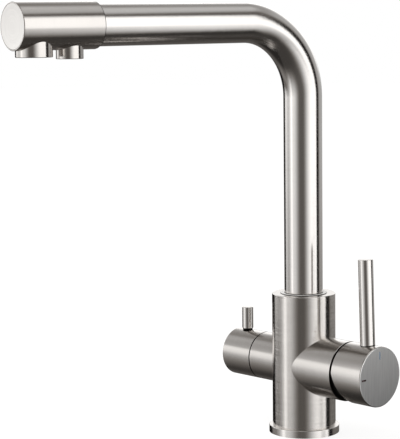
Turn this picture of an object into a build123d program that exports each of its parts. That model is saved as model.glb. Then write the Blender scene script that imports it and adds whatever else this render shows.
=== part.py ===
from build123d import *
import os
from math import radians, tan

os.makedirs("parts", exist_ok=True)

# Three way kitchen tap for hot, cold and filtered water, in millimetres.
# Frame: origin on the worktop at the middle of the body, +Z up.  The mixer
# branch points along +X, the filter branch along -X, and the user stands at -Y.

# ---------------------------------------------------------------- driving sizes
# Body
BODY_DIAMETER = 45.0
RING_STEP = 2.5             # the base ring stands that much proud of the body
RING_HEIGHT = 5.3
NECK_STEP = 2.0             # the neck that centres the base ring is that much thinner all round
NECK_WALL = 2.0             # wall of the neck, round the inlet block
NECK_RISE = 1.0             # underside of the neck above the worktop
BRANCH_HEIGHT = 49.4        # axis of both side branches
SOCKET_RISE = 3.6           # spout socket's floor above the mixer branch
SOCKET_DEPTH = 26.0         # spout socket, below the body's top face
POCKET_DEPTH = 8.0          # filtered water pocket, below the socket floor
POCKET_GAP = 1.1            # room for the seal round the filtered tube
POCKET_SEAL = 2.0           # length of that seal

# Inlets and fixing
INLET_DIAMETER = 10.0       # M10 x 1 hose thread, plain wall at the nominal size
INLET_DEPTH = 10.0
INLET_WALL = 2.4            # from the inlets to the block's edge
INLET_WEB = 3.0             # between the hot and cold inlets
STUD_DIAMETER = 8.0         # M8 fixing stud, plain wall at the nominal size
STUD_DEPTH = 11.0
BLOCK_ROOF = 4.0            # inlet block above its hose threads
WATERWAY = 6.0              # hot, cold and mixed passages
FILTER_WATERWAY = 4.0       # filtered passages
INLET_SEAL_HEIGHT = 1.4
INLET_SEAL_WIDTH = 1.5

# Gasket under the ring
GASKET_WIDTH = 2.0
GASKET_DEPTH = 1.5
GASKET_INSET = 1.2          # from the ring's outer edge

# Mixer branch
MIXER_DIAMETER = 42.0
MIXER_LIP = 0.7             # housing beyond the cartridge's nut
HOUSING_WALL = 2.55         # around the nut's thread
PASSAGE_WALL = 1.0          # between the rising passages and the cartridge's seat
CARTRIDGE_LENGTH = 23.8
CARTRIDGE_WALL = 1.7
CARTRIDGE_FLOOR = 2.5
CARTRIDGE_ROOF = 3.0
THREAD_STEP = 1.1           # the nut's thread is that much larger in radius
NUT_LENGTH = 6.0
KEY_SLOTS = 4
KEY_SLOT_WIDTH = 4.0
KEY_SLOT_DEPTH = 2.5
PORT_DROP = 5.0             # hot and cold ports below the cartridge's axis
PORT_RISE = 7.5             # mixed water port above it
PORT_SEAL_HEIGHT = 1.2
PORT_SEAL_WIDTH = 1.4
PEG_DIAMETER = 3.0
PEG_LENGTH = 3.0
DISC_THICKNESS = 3.4
DISC_PLAY = 2.5             # room for the moving disc to slide in
NECK_LENGTH = 4.2
SPINDLE_WALL = 1.7          # outside the corners of the stem's slot
SPINDLE_NECK_WALL = 1.9     # the cartridge's neck round the spindle
STEM_SQUARE = 8.0
STEM_SOCKET = 6.5           # how far the stem reaches into the solid of the cap
PIVOT_DEPTH = 7.0           # where the stem tilts, below the spindle's outer face
PIVOT_PIN_DIAMETER = 3.0
LIFT_ANGLE = 20.0           # lever travel from shut to full flow
LIFT_APEX = 2.0             # the wedge under the cap starts this far above its axis

# Mixer handle
CAP_GAP = 1.5
CAP_LENGTH = 26.4
CAP_WALL = 3.0
CAP_HOLLOW = 8.0
CAP_SCREW_DIAMETER = 5.0
CAP_SCREW_LENGTH = 8.0
LEVER_DIAMETER = 10.4
LEVER_SET = 16.0            # where the rod's line meets the axis, from the cap's start
LEVER_TOP = 80.2            # rod's end, from the branch axis
LEVER_LEAN = 1.9            # towards the body
LEVER_SINK = 2.2            # depth of the rod's seat in the cap
LEVER_THREAD = 6.0
LEVER_THREAD_LENGTH = 8.0
MARK_WIDTH = 1.2
MARK_LENGTH = 5.4
MARK_EDGE = 3.4             # from the cap's outer edge
HOT_MARK_LENGTH = 4.4
HOT_MARK_EDGE = 2.4
MARK_DEPTH = 0.5

# Filter branch
FILTER_DIAMETER = 34.2
FILTER_LIP = 2.4            # housing beyond the valve's flange
FILTER_PASSAGE_WALL = 1.9   # between the rising passage and the valve's seat
CHAMBER_WALL = 4.1          # outside the ring that the water leaves the valve into
CHAMBER_DEPTH = 3.0         # of that ring, round the valve
CHAMBER_SET = 9.0           # that ring's start, from the valve's seat
CHAMBER_LENGTH = 6.0
VALVE_SEAL = 2.5
VALVE_LENGTH = 18.0         # seat to flange
VALVE_WALL = 2.1
VALVE_DISC = 3.0
VALVE_WINDOW = 5.0
VALVE_FLANGE_STEP = 2.0     # flange beyond the valve's body, across its corners
VALVE_FLANGE_LENGTH = 3.0
VALVE_NOSE_WALL = 2.2
VALVE_NOSE_LENGTH = 4.0
VALVE_SPINDLE = 8.0
SPINDLE_COLLAR = 2.0
SPINDLE_GRIP = 7.0          # spindle inside the solid of the knob
KNOB_GAP = 0.6
KNOB_LENGTH = 27.5
KNOB_WALL = 2.6
KNOB_HOLLOW = 11.0
KNOB_SCREW_DIAMETER = 4.0
KNOB_SCREW_LENGTH = 7.0
FILTER_LEVER_DIAMETER = 8.3
FILTER_LEVER_SET = 17.8     # from the knob's start
FILTER_LEVER_TOP = 33.8     # rod's end, from the branch axis
FILTER_LEVER_NECK = 7.2     # the rod's foot is that narrow, as a shadow ring
FILTER_LEVER_FOOT = 1.0     # height of that neck above the knob's top
FILTER_LEVER_SINK = 2.4
FILTER_LEVER_THREAD = 5.0
FILTER_THREAD_LENGTH = 6.0

# Spout
SWIVEL_REST = -7.2          # the spout rests turned this far from straight ahead
TUBE_DIAMETER = 27.2
TUBE_WALL = 1.0
SPOUT_HEIGHT = 291.0        # axis of the level run
BEND_RADIUS = 52.0
REACH = 231.0               # body axis to the head's end face
BUSH_WALL = 2.9
BUSH_DEPTH = 5.5
SOCKET_STEP = 0.6           # the socket is that much smaller in radius than the tube
SPIGOT_REACH = 17.0         # how far the spigot goes up inside the tube
SPIGOT_WALL = 3.6
SPIGOT_FOOT = 1.0           # spigot above the socket's floor
RING_SECTION = 2.4          # seal ring height
RING_DEPTH = 1.9            # seal groove depth
RING_PITCH = 5.0
GRUB_DIAMETER = 4.0
GRUB_RISE = 15.3            # retaining screw above the socket's floor
GRUB_RECESS = 1.5
GROOVE_DEPTH = 1.8          # of the groove that the screw runs in
KEY_DEPTH = 2.0             # hexagon sockets of the three set screws
FILTERED_TUBE_DIAMETER = 6.0
FILTERED_TUBE_WALL = 0.8
FILTERED_FOOT = 1.0         # tube above the pocket's floor

# Head
HEAD_STEP = 1.7             # the head stands that much proud of the tube
HEAD_LENGTH = 59.4
HEAD_WALL = 3.1
HEAD_SOCKET = 8.0           # how far the tube goes into the head
HEAD_SEAM = 0.5             # of the fine seam round the tube where it enters the head
HEAD_SEAM_DEPTH = 1.0
END_CAP_THICKNESS = 3.0
END_CAP_RIM = 0.8
MAIN_OUTLET_DIAMETER = 23.7
MAIN_OUTLET_SET = 15.0      # from the head's end face
MAIN_OUTLET_DROP = 19.5     # below the axis of the level run
MAIN_OUTLET_SEAT = 4.5      # collar's top, inside the head's bore
OUTLET_SPACING = 26.1       # between the two outlets
FILTER_OUTLET_DIAMETER = 17.6
FILTER_OUTLET_DROP = 21.0
OUTLET_WALL = 1.3
OUTLET_RECESS = 0.6
AERATOR_LENGTH = 8.0
AERATOR_WALL = 2.0
AERATOR_FLOOR = 2.0
AERATOR_HOLE = 3.4
AERATOR_CIRCLE = 11.0
AERATOR_HOLES = 6
WASHER_THICKNESS = 1.2
WASHER_WIDTH = 2.4
NOZZLE_LENGTH = 6.5
NOZZLE_LIP = 1.6
NOZZLE_DISH = 2.0
ELBOW_DIAMETER = 11.0
ELBOW_SOCKET = 3.0          # how far the filtered tube goes into the elbow
ELBOW_WALL = 2.0            # of the elbow over the filtered tube

# Clearances
SEAT = 0.05                 # between a piece and the seat that holds it
RUNNING = 0.06              # radial, between turning fits
FREE = 0.3                  # between parts that pass each other
EDGE = 0.4                  # small edge break
SOFT_EDGE = 0.6
PAST = 1.0                  # cuts run on past the surface that they open

# ---------------------------------------------------------------- worked-out sizes
body_radius = BODY_DIAMETER / 2
ring_radius = body_radius + RING_STEP
neck_radius = body_radius - NECK_STEP
block_radius = neck_radius - NECK_WALL
block_height = INLET_DEPTH + BLOCK_ROOF
waterway = WATERWAY / 2
filter_waterway = FILTER_WATERWAY / 2
inlet_radius = INLET_DIAMETER / 2
inlet_side = inlet_radius + INLET_WEB / 2
filter_inlet_out = block_radius - INLET_WALL - inlet_radius
inlet_out = (filter_inlet_out**2 - inlet_side**2) ** 0.5

mixer_radius = MIXER_DIAMETER / 2
nut_bore = mixer_radius - HOUSING_WALL
cartridge_radius = nut_bore - THREAD_STEP
cartridge_seat = inlet_out + waterway + PASSAGE_WALL
cartridge_end = cartridge_seat + CARTRIDGE_LENGTH
cavity_radius = cartridge_radius - CARTRIDGE_WALL
peg_offset = cavity_radius - PEG_DIAMETER
disc_seat = cartridge_seat + CARTRIDGE_FLOOR
moving_disc_seat = disc_seat + DISC_THICKNESS
spindle_start = moving_disc_seat + DISC_THICKNESS
neck_end = cartridge_end + NECK_LENGTH
mixer_rim = cartridge_end + NUT_LENGTH + MIXER_LIP
pivot_station = neck_end - PIVOT_DEPTH
slot_width = STEM_SQUARE + 2 * FREE
slot_height = STEM_SQUARE + 2 * (pivot_station - spindle_start) * tan(radians(LIFT_ANGLE))
spindle_radius = ((slot_width / 2) ** 2 + (slot_height / 2) ** 2) ** 0.5 + SPINDLE_WALL
cartridge_neck = spindle_radius + SPINDLE_NECK_WALL
cap_start = mixer_rim + CAP_GAP
cap_end = cap_start + CAP_LENGTH
cap_floor = cap_start + CAP_HOLLOW
stem_start = spindle_start + DISC_THICKNESS / 2
stem_end = cap_floor + STEM_SOCKET

filter_radius = FILTER_DIAMETER / 2
chamber_radius = filter_radius - CHAMBER_WALL
valve_radius = chamber_radius - CHAMBER_DEPTH
valve_spindle_radius = VALVE_SPINDLE / 2
flange_radius = valve_radius + VALVE_FLANGE_STEP
disc_radius = valve_radius - VALVE_WALL
valve_seat = filter_inlet_out + filter_waterway + FILTER_PASSAGE_WALL
valve_face = valve_seat + VALVE_SEAL
chamber_start = valve_seat + CHAMBER_SET
chamber_end = chamber_start + CHAMBER_LENGTH
valve_body_end = valve_seat + VALVE_LENGTH
flange_end = valve_body_end + VALVE_FLANGE_LENGTH
nose_end = flange_end + VALVE_NOSE_LENGTH
filter_rim = flange_end + FILTER_LIP
knob_start = filter_rim + KNOB_GAP
knob_end = knob_start + KNOB_LENGTH
knob_floor = knob_start + KNOB_HOLLOW
filtered_out_rise = chamber_radius - FREE

tube_radius = TUBE_DIAMETER / 2
tube_bore = tube_radius - TUBE_WALL
socket_radius = tube_radius - SOCKET_STEP
socket_floor = BRANCH_HEIGHT + mixer_radius + SOCKET_RISE
body_height = socket_floor + SOCKET_DEPTH
bush_seat = body_height - BUSH_DEPTH
bush_radius = tube_radius + BUSH_WALL
tube_start = bush_seat + FREE
spigot_radius = socket_radius - RUNNING
spigot_start = socket_floor + SPIGOT_FOOT
grub_height = socket_floor + GRUB_RISE
filtered_tube_radius = FILTERED_TUBE_DIAMETER / 2
pocket_radius = filtered_tube_radius + POCKET_GAP
pocket_floor = socket_floor - POCKET_DEPTH

head_radius = tube_radius + HEAD_STEP
head_bore = head_radius - HEAD_WALL
head_start = REACH - HEAD_LENGTH
tube_end = head_start + HEAD_SOCKET
cap_seat = REACH - END_CAP_THICKNESS
main_outlet_reach = REACH - MAIN_OUTLET_SET
filter_outlet_reach = main_outlet_reach - OUTLET_SPACING
main_outlet_radius = MAIN_OUTLET_DIAMETER / 2
filter_outlet_radius = FILTER_OUTLET_DIAMETER / 2
elbow_radius = ELBOW_DIAMETER / 2
spout_aim = Vector(0, -1, 0).rotate(Axis.Z, SWIVEL_REST)


# ---------------------------------------------------------------- planes and turned spans
def upright(x=0.0, y=0.0):
    """Level plane at the worktop; its normal is +Z."""
    return Plane(origin=(x, y, 0))


def rightward(y=0.0, rise=0.0):
    """Plane whose normal runs out along the mixer branch."""
    return Plane(origin=(0, y, BRANCH_HEIGHT + rise), x_dir=(0, 1, 0), z_dir=(1, 0, 0))


def leftward(y=0.0, rise=0.0):
    """Plane whose normal runs out along the filter branch."""
    return Plane(origin=(0, y, BRANCH_HEIGHT + rise), x_dir=(0, -1, 0), z_dir=(-1, 0, 0))


def outlet_line(reach):
    """Plane whose normal points up, on the level run's axis at a distance out along it."""
    return Plane(origin=spout_aim * reach + Vector(0, 0, SPOUT_HEIGHT), x_dir=spout_aim, z_dir=(0, 0, 1))


# the level run's own plane, and the upright plane that holds the spout's whole centre line
forward = Plane(origin=(0, 0, SPOUT_HEIGHT), x_dir=(0, 0, 1), z_dir=spout_aim)
spout_side = Plane(origin=(0, 0, 0), x_dir=spout_aim, z_dir=spout_aim.cross(Vector(0, 0, 1)))


def turned(plane, *spans, mode=Mode.ADD):
    """Round spans (start, end, radius) along a plane's normal, added to the open part."""
    for start, end, radius in spans:
        with BuildSketch(plane.offset(start)) as disc:
            Circle(radius)
        extrude(disc.sketch, amount=end - start, mode=mode)


def bored(plane, *spans):
    """Round spans (start, end, radius) along a plane's normal, cut from the open part."""
    turned(plane, *spans, mode=Mode.SUBTRACT)


def rim(piece, plane, station, radius):
    """The circular edge of that radius at that station along the plane's normal."""
    centre = plane.origin + plane.z_dir * station
    circles = piece.edges().filter_by(GeomType.CIRCLE)
    return [e for e in circles if abs(e.radius - radius) < 0.01 and abs(e.arc_center - centre) < 0.01]


def hexagon_socket(plane, station, size, depth):
    """Hexagon key socket cut down into the open part from a station along the plane's normal."""
    with BuildSketch(plane.offset(station)) as key:
        RegularPolygon(size / 2, 6)
    extrude(key.sketch, amount=-depth, mode=Mode.SUBTRACT)


# ---------------------------------------------------------------- body and base
back = Plane(origin=(0, 0, grub_height), x_dir=(1, 0, 0), z_dir=(0, 1, 0))
with BuildPart() as tap_body:
    turned(upright(), (RING_HEIGHT, body_height, body_radius), (NECK_RISE, RING_HEIGHT, neck_radius))
    chamfer(rim(tap_body, upright(), body_height, body_radius), length=EDGE)
    turned(rightward(), (0, mixer_rim, mixer_radius))
    chamfer(rim(tap_body, rightward(), mixer_rim, mixer_radius), length=EDGE)
    turned(leftward(), (0, filter_rim, filter_radius))
    chamfer(rim(tap_body, leftward(), filter_rim, filter_radius), length=EDGE)
    # cartridge housing, with the wider thread for its nut
    bored(
        rightward(),
        (cartridge_seat, mixer_rim, cartridge_radius + SEAT),
        (cartridge_end, mixer_rim, nut_bore + SEAT),
    )
    # filter valve housing, with the ring that the water leaves into
    bored(
        leftward(),
        (valve_seat, filter_rim, valve_radius + SEAT),
        (chamber_start, chamber_end, chamber_radius),
        (valve_body_end, filter_rim, flange_radius + FREE),
    )
    # spout socket, bush recess, filtered water pocket and the inlet block's seat
    bored(
        upright(),
        (NECK_RISE, block_height, block_radius + SEAT),
        (pocket_floor, socket_floor, pocket_radius),
        (socket_floor, bush_seat, socket_radius),
        (bush_seat, body_height, bush_radius + SEAT),
    )
    # hot and cold water rise from the inlet block to the cartridge's lower ports
    for side in (-inlet_side, inlet_side):
        bored(upright(inlet_out, side), (block_height, BRANCH_HEIGHT - PORT_DROP, waterway))
        bored(rightward(side, -PORT_DROP), (inlet_out - waterway / 2, cartridge_seat, waterway))
    # mixed water leaves the upper port and rises into the spout socket
    bored(rightward(0, PORT_RISE), (inlet_out - waterway / 2, cartridge_seat, waterway))
    bored(upright(inlet_out), (BRANCH_HEIGHT + PORT_RISE, socket_floor, waterway))
    # filtered water rises to the valve's seat, and leaves it for the pocket in the middle
    bored(upright(-filter_inlet_out), (block_height, BRANCH_HEIGHT, filter_waterway))
    bored(leftward(), (filter_inlet_out - filter_waterway / 2, valve_seat, filter_waterway))
    bored(leftward(0, filtered_out_rise), (0, (chamber_start + chamber_end) / 2, filter_waterway))
    bored(upright(), (BRANCH_HEIGHT + filtered_out_rise, pocket_floor, filter_waterway))
    # locating holes for the cartridge's two pegs
    for side in (-peg_offset, peg_offset):
        bored(rightward(side), (cartridge_seat - PEG_LENGTH - SEAT, cartridge_seat, PEG_DIAMETER / 2 + SEAT))
    # threaded hole for the spout's retaining screw, at the back
    bored(back, (socket_radius - PAST, body_radius + PAST, GRUB_DIAMETER / 2 + SEAT))
tap_body.part.label = "tap_body"
export_step(tap_body.part, "parts/tap_body.step")

gasket_outer = ring_radius - GASKET_INSET
with BuildPart() as base_ring:
    turned(upright(), (0, RING_HEIGHT, ring_radius))
    bored(upright(), (0, RING_HEIGHT, neck_radius + SEAT))
    with BuildSketch(upright()) as gasket_groove:
        Circle(gasket_outer)
        Circle(gasket_outer - GASKET_WIDTH, mode=Mode.SUBTRACT)
    extrude(gasket_groove.sketch, amount=GASKET_DEPTH, mode=Mode.SUBTRACT)
    chamfer(rim(base_ring, upright(), RING_HEIGHT, ring_radius), length=EDGE)
base_ring.part.label = "base_ring"
export_step(base_ring.part, "parts/base_ring.step")

with BuildPart() as base_gasket:
    extrude(gasket_groove.sketch, amount=GASKET_DEPTH)
base_gasket.part.label = "base_gasket"
export_step(base_gasket.part, "parts/base_gasket.step")

# Brass block in the foot of the body: three hose threads round a fixing stud's thread
inlets = [(inlet_out, -inlet_side), (inlet_out, inlet_side), (-filter_inlet_out, 0)]
inlet_ways = [waterway, waterway, filter_waterway]
seal_floor = block_height - INLET_SEAL_HEIGHT
with BuildPart() as inlet_manifold:
    turned(upright(), (0, block_height, block_radius))
    bored(upright(), (0, STUD_DEPTH, STUD_DIAMETER / 2))
    for (x, y), way in zip(inlets, inlet_ways):
        bored(
            upright(x, y),
            (0, INLET_DEPTH, inlet_radius),
            (INLET_DEPTH, block_height, way),
            (seal_floor, block_height, way + INLET_SEAL_WIDTH),
        )
inlet_manifold.part.label = "inlet_manifold"
export_step(inlet_manifold.part, "parts/inlet_manifold.step")

with BuildPart() as inlet_seals:
    for (x, y), way in zip(inlets, inlet_ways):
        turned(upright(x, y), (seal_floor, block_height, way + INLET_SEAL_WIDTH))
        bored(upright(x, y), (seal_floor, block_height, way))
inlet_seals.part.label = "inlet_seals"
export_step(inlet_seals.part, "parts/inlet_seals.step")

with BuildPart() as spout_bush:
    turned(upright(), (bush_seat, body_height, bush_radius))
    bored(upright(), (bush_seat, body_height, tube_radius + RUNNING))
    chamfer(rim(spout_bush, upright(), body_height, bush_radius), length=EDGE)
spout_bush.part.label = "spout_bush"
export_step(spout_bush.part, "parts/spout_bush.step")

# The retaining screw's tip runs in the spigot's groove, so the spout turns but can't lift off
groove_bottom = spigot_radius - GROOVE_DEPTH
grub_head = body_radius - GRUB_RECESS
with BuildPart() as spout_grub_screw:
    turned(back, (groove_bottom + FREE, grub_head, GRUB_DIAMETER / 2))
    hexagon_socket(back, grub_head, GRUB_DIAMETER / 2, KEY_DEPTH)
spout_grub_screw.part.label = "spout_grub_screw"
export_step(spout_grub_screw.part, "parts/spout_grub_screw.step")

# ---------------------------------------------------------------- mixer cartridge
ports = [(-inlet_side, -PORT_DROP), (inlet_side, -PORT_DROP), (0, PORT_RISE)]
port_seal_end = cartridge_seat + PORT_SEAL_HEIGHT
roof_start = cartridge_end - CARTRIDGE_ROOF
with BuildPart() as mixer_cartridge:
    turned(
        rightward(),
        (cartridge_seat, cartridge_end, cartridge_radius),
        (cartridge_end, neck_end, cartridge_neck),
    )
    bored(
        rightward(),
        (disc_seat, roof_start, cavity_radius),
        (roof_start, neck_end, spindle_radius + RUNNING),
    )
    for y, z in ports:
        bored(
            rightward(y, z),
            (cartridge_seat, disc_seat, waterway),
            (cartridge_seat, port_seal_end, waterway + PORT_SEAL_WIDTH),
        )
    for side in (-peg_offset, peg_offset):
        turned(rightward(side), (cartridge_seat - PEG_LENGTH, cartridge_seat, PEG_DIAMETER / 2))
mixer_cartridge.part.label = "mixer_cartridge"
export_step(mixer_cartridge.part, "parts/mixer_cartridge.step")

with BuildPart() as cartridge_seals:
    for y, z in ports:
        turned(rightward(y, z), (cartridge_seat, port_seal_end, waterway + PORT_SEAL_WIDTH))
        bored(rightward(y, z), (cartridge_seat, port_seal_end, waterway))
cartridge_seals.part.label = "cartridge_seals"
export_step(cartridge_seals.part, "parts/cartridge_seals.step")

nut_end = cartridge_end + NUT_LENGTH
with BuildPart() as cartridge_nut:
    turned(rightward(), (cartridge_end, nut_end, nut_bore))
    bored(rightward(), (cartridge_end, nut_end, cartridge_neck + FREE))
    # slots across the outer face for the fitting key
    with BuildSketch(rightward().offset(nut_end)) as key_slots:
        with PolarLocations((nut_bore + cartridge_neck) / 2, KEY_SLOTS):
            Rectangle(nut_bore - cartridge_neck + PAST, KEY_SLOT_WIDTH)
    extrude(key_slots.sketch, amount=-KEY_SLOT_DEPTH, mode=Mode.SUBTRACT)
cartridge_nut.part.label = "cartridge_nut"
export_step(cartridge_nut.part, "parts/cartridge_nut.step")

with BuildPart() as mixer_fixed_disc:
    turned(rightward(), (disc_seat, moving_disc_seat, cavity_radius - SEAT))
    for y, z in ports:
        bored(rightward(y, z), (disc_seat, moving_disc_seat, waterway))
mixer_fixed_disc.part.label = "mixer_fixed_disc"
export_step(mixer_fixed_disc.part, "parts/mixer_fixed_disc.step")

# The moving disc's hollow joins the ports that it lies over
with BuildPart() as mixer_moving_disc:
    turned(rightward(), (moving_disc_seat, spindle_start, cavity_radius - DISC_PLAY))
    with BuildSketch(rightward().offset(moving_disc_seat)) as mixing_hollow:
        SlotCenterToCenter(PORT_RISE, WATERWAY + PORT_SEAL_WIDTH, rotation=90)
    extrude(mixing_hollow.sketch, amount=DISC_THICKNESS / 2, mode=Mode.SUBTRACT)
mixer_moving_disc.part.label = "mixer_moving_disc"
export_step(mixer_moving_disc.part, "parts/mixer_moving_disc.step")

# The spindle turns in the cartridge's neck and carries the pin that the stem tilts on
pivot = Plane(origin=(pivot_station, 0, BRANCH_HEIGHT), x_dir=(1, 0, 0), z_dir=(0, -1, 0))
pin_radius = PIVOT_PIN_DIAMETER / 2
with BuildPart() as cartridge_spindle:
    turned(rightward(), (spindle_start, neck_end, spindle_radius))
    with BuildSketch(rightward().offset(spindle_start)) as stem_slot:
        Rectangle(slot_width, slot_height)
    extrude(stem_slot.sketch, amount=neck_end - spindle_start, mode=Mode.SUBTRACT)
    bored(pivot, (-spindle_radius, spindle_radius, pin_radius))
cartridge_spindle.part.label = "cartridge_spindle"
export_step(cartridge_spindle.part, "parts/cartridge_spindle.step")

pin_half = (spindle_radius**2 - pin_radius**2) ** 0.5 - FREE
with BuildPart() as pivot_pin:
    turned(pivot, (-pin_half, pin_half, pin_radius))
pivot_pin.part.label = "pivot_pin"
export_step(pivot_pin.part, "parts/pivot_pin.step")

# ---------------------------------------------------------------- mixer handle
with BuildPart() as mixer_stem:
    with BuildSketch(rightward().offset(stem_start)) as stem_section:
        Rectangle(STEM_SQUARE, STEM_SQUARE)
    extrude(stem_section.sketch, amount=stem_end - stem_start)
    bored(pivot, (-STEM_SQUARE, STEM_SQUARE, pin_radius + RUNNING))
mixer_stem.part.label = "mixer_stem"
export_step(mixer_stem.part, "parts/mixer_stem.step")

lever_line = Plane(
    origin=(cap_start + LEVER_SET, 0, BRANCH_HEIGHT),
    x_dir=(0, 1, 0),
    z_dir=Vector(0, 0, 1).rotate(Axis.Y, -LEVER_LEAN),
)
lever_radius = LEVER_DIAMETER / 2
lever_seat = mixer_radius - LEVER_SINK
lever_thread_end = lever_seat - LEVER_THREAD_LENGTH
cap_screw_radius = CAP_SCREW_DIAMETER / 2
cap_screw_end = STEM_SQUARE / 2 + CAP_SCREW_LENGTH
cap_screw_station = cap_floor + STEM_SOCKET / 2
mark_middle = mixer_radius - MARK_EDGE - MARK_LENGTH / 2
hot_middle = mixer_radius - HOT_MARK_EDGE - HOT_MARK_LENGTH / 2
wedge_top = BRANCH_HEIGHT + LIFT_APEX
wedge_foot = BRANCH_HEIGHT - mixer_radius - PAST
wedge_width = (wedge_top - wedge_foot) * tan(radians(LIFT_ANGLE))
cap_face = rightward().offset(cap_end)
under_cap = Plane(origin=(cap_screw_station, 0, BRANCH_HEIGHT), x_dir=(1, 0, 0), z_dir=(0, 0, -1))
with BuildPart() as mixer_cap:
    turned(rightward(), (cap_start, cap_end, mixer_radius))
    bored(rightward(), (cap_start, cap_floor, mixer_radius - CAP_WALL))
    # socket for the stem's square end
    with BuildSketch(rightward().offset(cap_floor)) as stem_socket:
        Rectangle(STEM_SQUARE + 2 * SEAT, STEM_SQUARE + 2 * SEAT)
    extrude(stem_socket.sketch, amount=STEM_SOCKET + SEAT, mode=Mode.SUBTRACT)
    # wedge under the rear edge, so that the cap can tip without meeting its housing
    with BuildSketch(Plane.XZ) as wedge:
        with BuildLine():
            Polyline(
                (cap_start, wedge_top),
                (cap_start, wedge_foot),
                (cap_start + wedge_width, wedge_foot),
                close=True,
            )
        make_face()
    extrude(wedge.sketch, amount=mixer_radius + PAST, both=True, mode=Mode.SUBTRACT)
    # seat and thread for the lever, and a set screw from below that bites on the stem
    bored(
        lever_line,
        (lever_seat, mixer_radius + PAST, lever_radius + SEAT),
        (lever_thread_end - PAST, lever_seat, LEVER_THREAD / 2 + SEAT),
    )
    bored(under_cap, (STEM_SQUARE / 2, mixer_radius + PAST, cap_screw_radius + SEAT))
    # pockets for the two marks in the end face: cold at the lever, hot a quarter turn ahead
    with BuildSketch(cap_face) as mark_pockets:
        with Locations((0, mark_middle)):
            Rectangle(MARK_WIDTH, MARK_LENGTH)
        with Locations((-hot_middle, 0)):
            Rectangle(HOT_MARK_LENGTH, MARK_WIDTH)
    extrude(mark_pockets.sketch, amount=-MARK_DEPTH, mode=Mode.SUBTRACT)
    chamfer(rim(mixer_cap, rightward(), cap_end, mixer_radius), length=SOFT_EDGE)
mixer_cap.part.label = "mixer_cap"
export_step(mixer_cap.part, "parts/mixer_cap.step")

with BuildPart() as mixer_lever:
    turned(
        lever_line,
        (lever_thread_end, lever_seat, LEVER_THREAD / 2),
        (lever_seat, LEVER_TOP, lever_radius),
    )
    chamfer(rim(mixer_lever, lever_line, LEVER_TOP, lever_radius), length=EDGE)
mixer_lever.part.label = "mixer_lever"
export_step(mixer_lever.part, "parts/mixer_lever.step")

with BuildPart() as mixer_set_screw:
    turned(under_cap, (STEM_SQUARE / 2, cap_screw_end, cap_screw_radius))
    hexagon_socket(under_cap, cap_screw_end, cap_screw_radius, KEY_DEPTH)
mixer_set_screw.part.label = "mixer_set_screw"
export_step(mixer_set_screw.part, "parts/mixer_set_screw.step")

with BuildPart() as cold_mark:
    with BuildSketch(cap_face) as cold_shape:
        with Locations((0, mark_middle)):
            Rectangle(MARK_WIDTH - 2 * SEAT, MARK_LENGTH - 2 * SEAT)
    extrude(cold_shape.sketch, amount=-MARK_DEPTH)
cold_mark.part.label = "cold_mark"
export_step(cold_mark.part, "parts/cold_mark.step")

with BuildPart() as hot_mark:
    with BuildSketch(cap_face) as hot_shape:
        with Locations((-hot_middle, 0)):
            Rectangle(HOT_MARK_LENGTH - 2 * SEAT, MARK_WIDTH - 2 * SEAT)
    extrude(hot_shape.sketch, amount=-MARK_DEPTH)
hot_mark.part.label = "hot_mark"
export_step(hot_mark.part, "parts/hot_mark.step")

# ---------------------------------------------------------------- filter valve
moving_face = valve_face + VALVE_DISC
spindle_foot = moving_face + VALVE_DISC
collar_end = spindle_foot + SPINDLE_COLLAR
window_line = Plane(origin=(-chamber_start, 0, BRANCH_HEIGHT), z_dir=(0, 0, 1))
with BuildPart() as valve_headwork:
    turned(
        leftward(),
        (valve_face, valve_body_end, valve_radius),
        (flange_end, nose_end, valve_spindle_radius + VALVE_NOSE_WALL),
    )
    with BuildSketch(leftward().offset(valve_body_end)) as hexagon:
        RegularPolygon(flange_radius, 6)
    extrude(hexagon.sketch, amount=VALVE_FLANGE_LENGTH)
    bored(
        leftward(),
        (valve_face, collar_end + SEAT, disc_radius + SEAT),
        (collar_end, nose_end, valve_spindle_radius + RUNNING),
    )
    # two windows let the water out of the disc chamber
    with BuildSketch(window_line) as window:
        Rectangle(VALVE_WINDOW / 2, VALVE_WINDOW, align=(Align.MAX, Align.CENTER))
    extrude(window.sketch, amount=valve_radius + PAST, both=True, mode=Mode.SUBTRACT)
valve_headwork.part.label = "valve_headwork"
export_step(valve_headwork.part, "parts/valve_headwork.step")

with BuildPart() as valve_seal:
    turned(leftward(), (valve_seat, valve_face, disc_radius))
    bored(leftward(), (valve_seat, valve_face, FILTER_WATERWAY))
valve_seal.part.label = "valve_seal"
export_step(valve_seal.part, "parts/valve_seal.step")

with BuildPart() as valve_fixed_disc:
    turned(leftward(), (valve_face, moving_face, disc_radius))
    with BuildSketch(leftward().offset(valve_face)) as fixed_ports:
        with Locations((0, disc_radius / 2), (0, -disc_radius / 2)):
            Circle(filter_waterway)
    extrude(fixed_ports.sketch, amount=VALVE_DISC, mode=Mode.SUBTRACT)
valve_fixed_disc.part.label = "valve_fixed_disc"
export_step(valve_fixed_disc.part, "parts/valve_fixed_disc.step")

# Shut at rest: the moving disc's ports lie a quarter turn from the fixed disc's
with BuildPart() as valve_moving_disc:
    turned(leftward(), (moving_face, spindle_foot, disc_radius - FREE))
    with BuildSketch(leftward().offset(moving_face)) as moving_ports:
        with Locations((disc_radius / 2, 0), (-disc_radius / 2, 0)):
            Circle(filter_waterway)
    extrude(moving_ports.sketch, amount=VALVE_DISC, mode=Mode.SUBTRACT)
valve_moving_disc.part.label = "valve_moving_disc"
export_step(valve_moving_disc.part, "parts/valve_moving_disc.step")

valve_spindle_end = knob_floor + SPINDLE_GRIP
with BuildPart() as valve_spindle:
    turned(
        leftward(),
        (spindle_foot, collar_end - SEAT, disc_radius - FREE),
        (collar_end - SEAT, valve_spindle_end, valve_spindle_radius),
    )
valve_spindle.part.label = "valve_spindle"
export_step(valve_spindle.part, "parts/valve_spindle.step")

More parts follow.
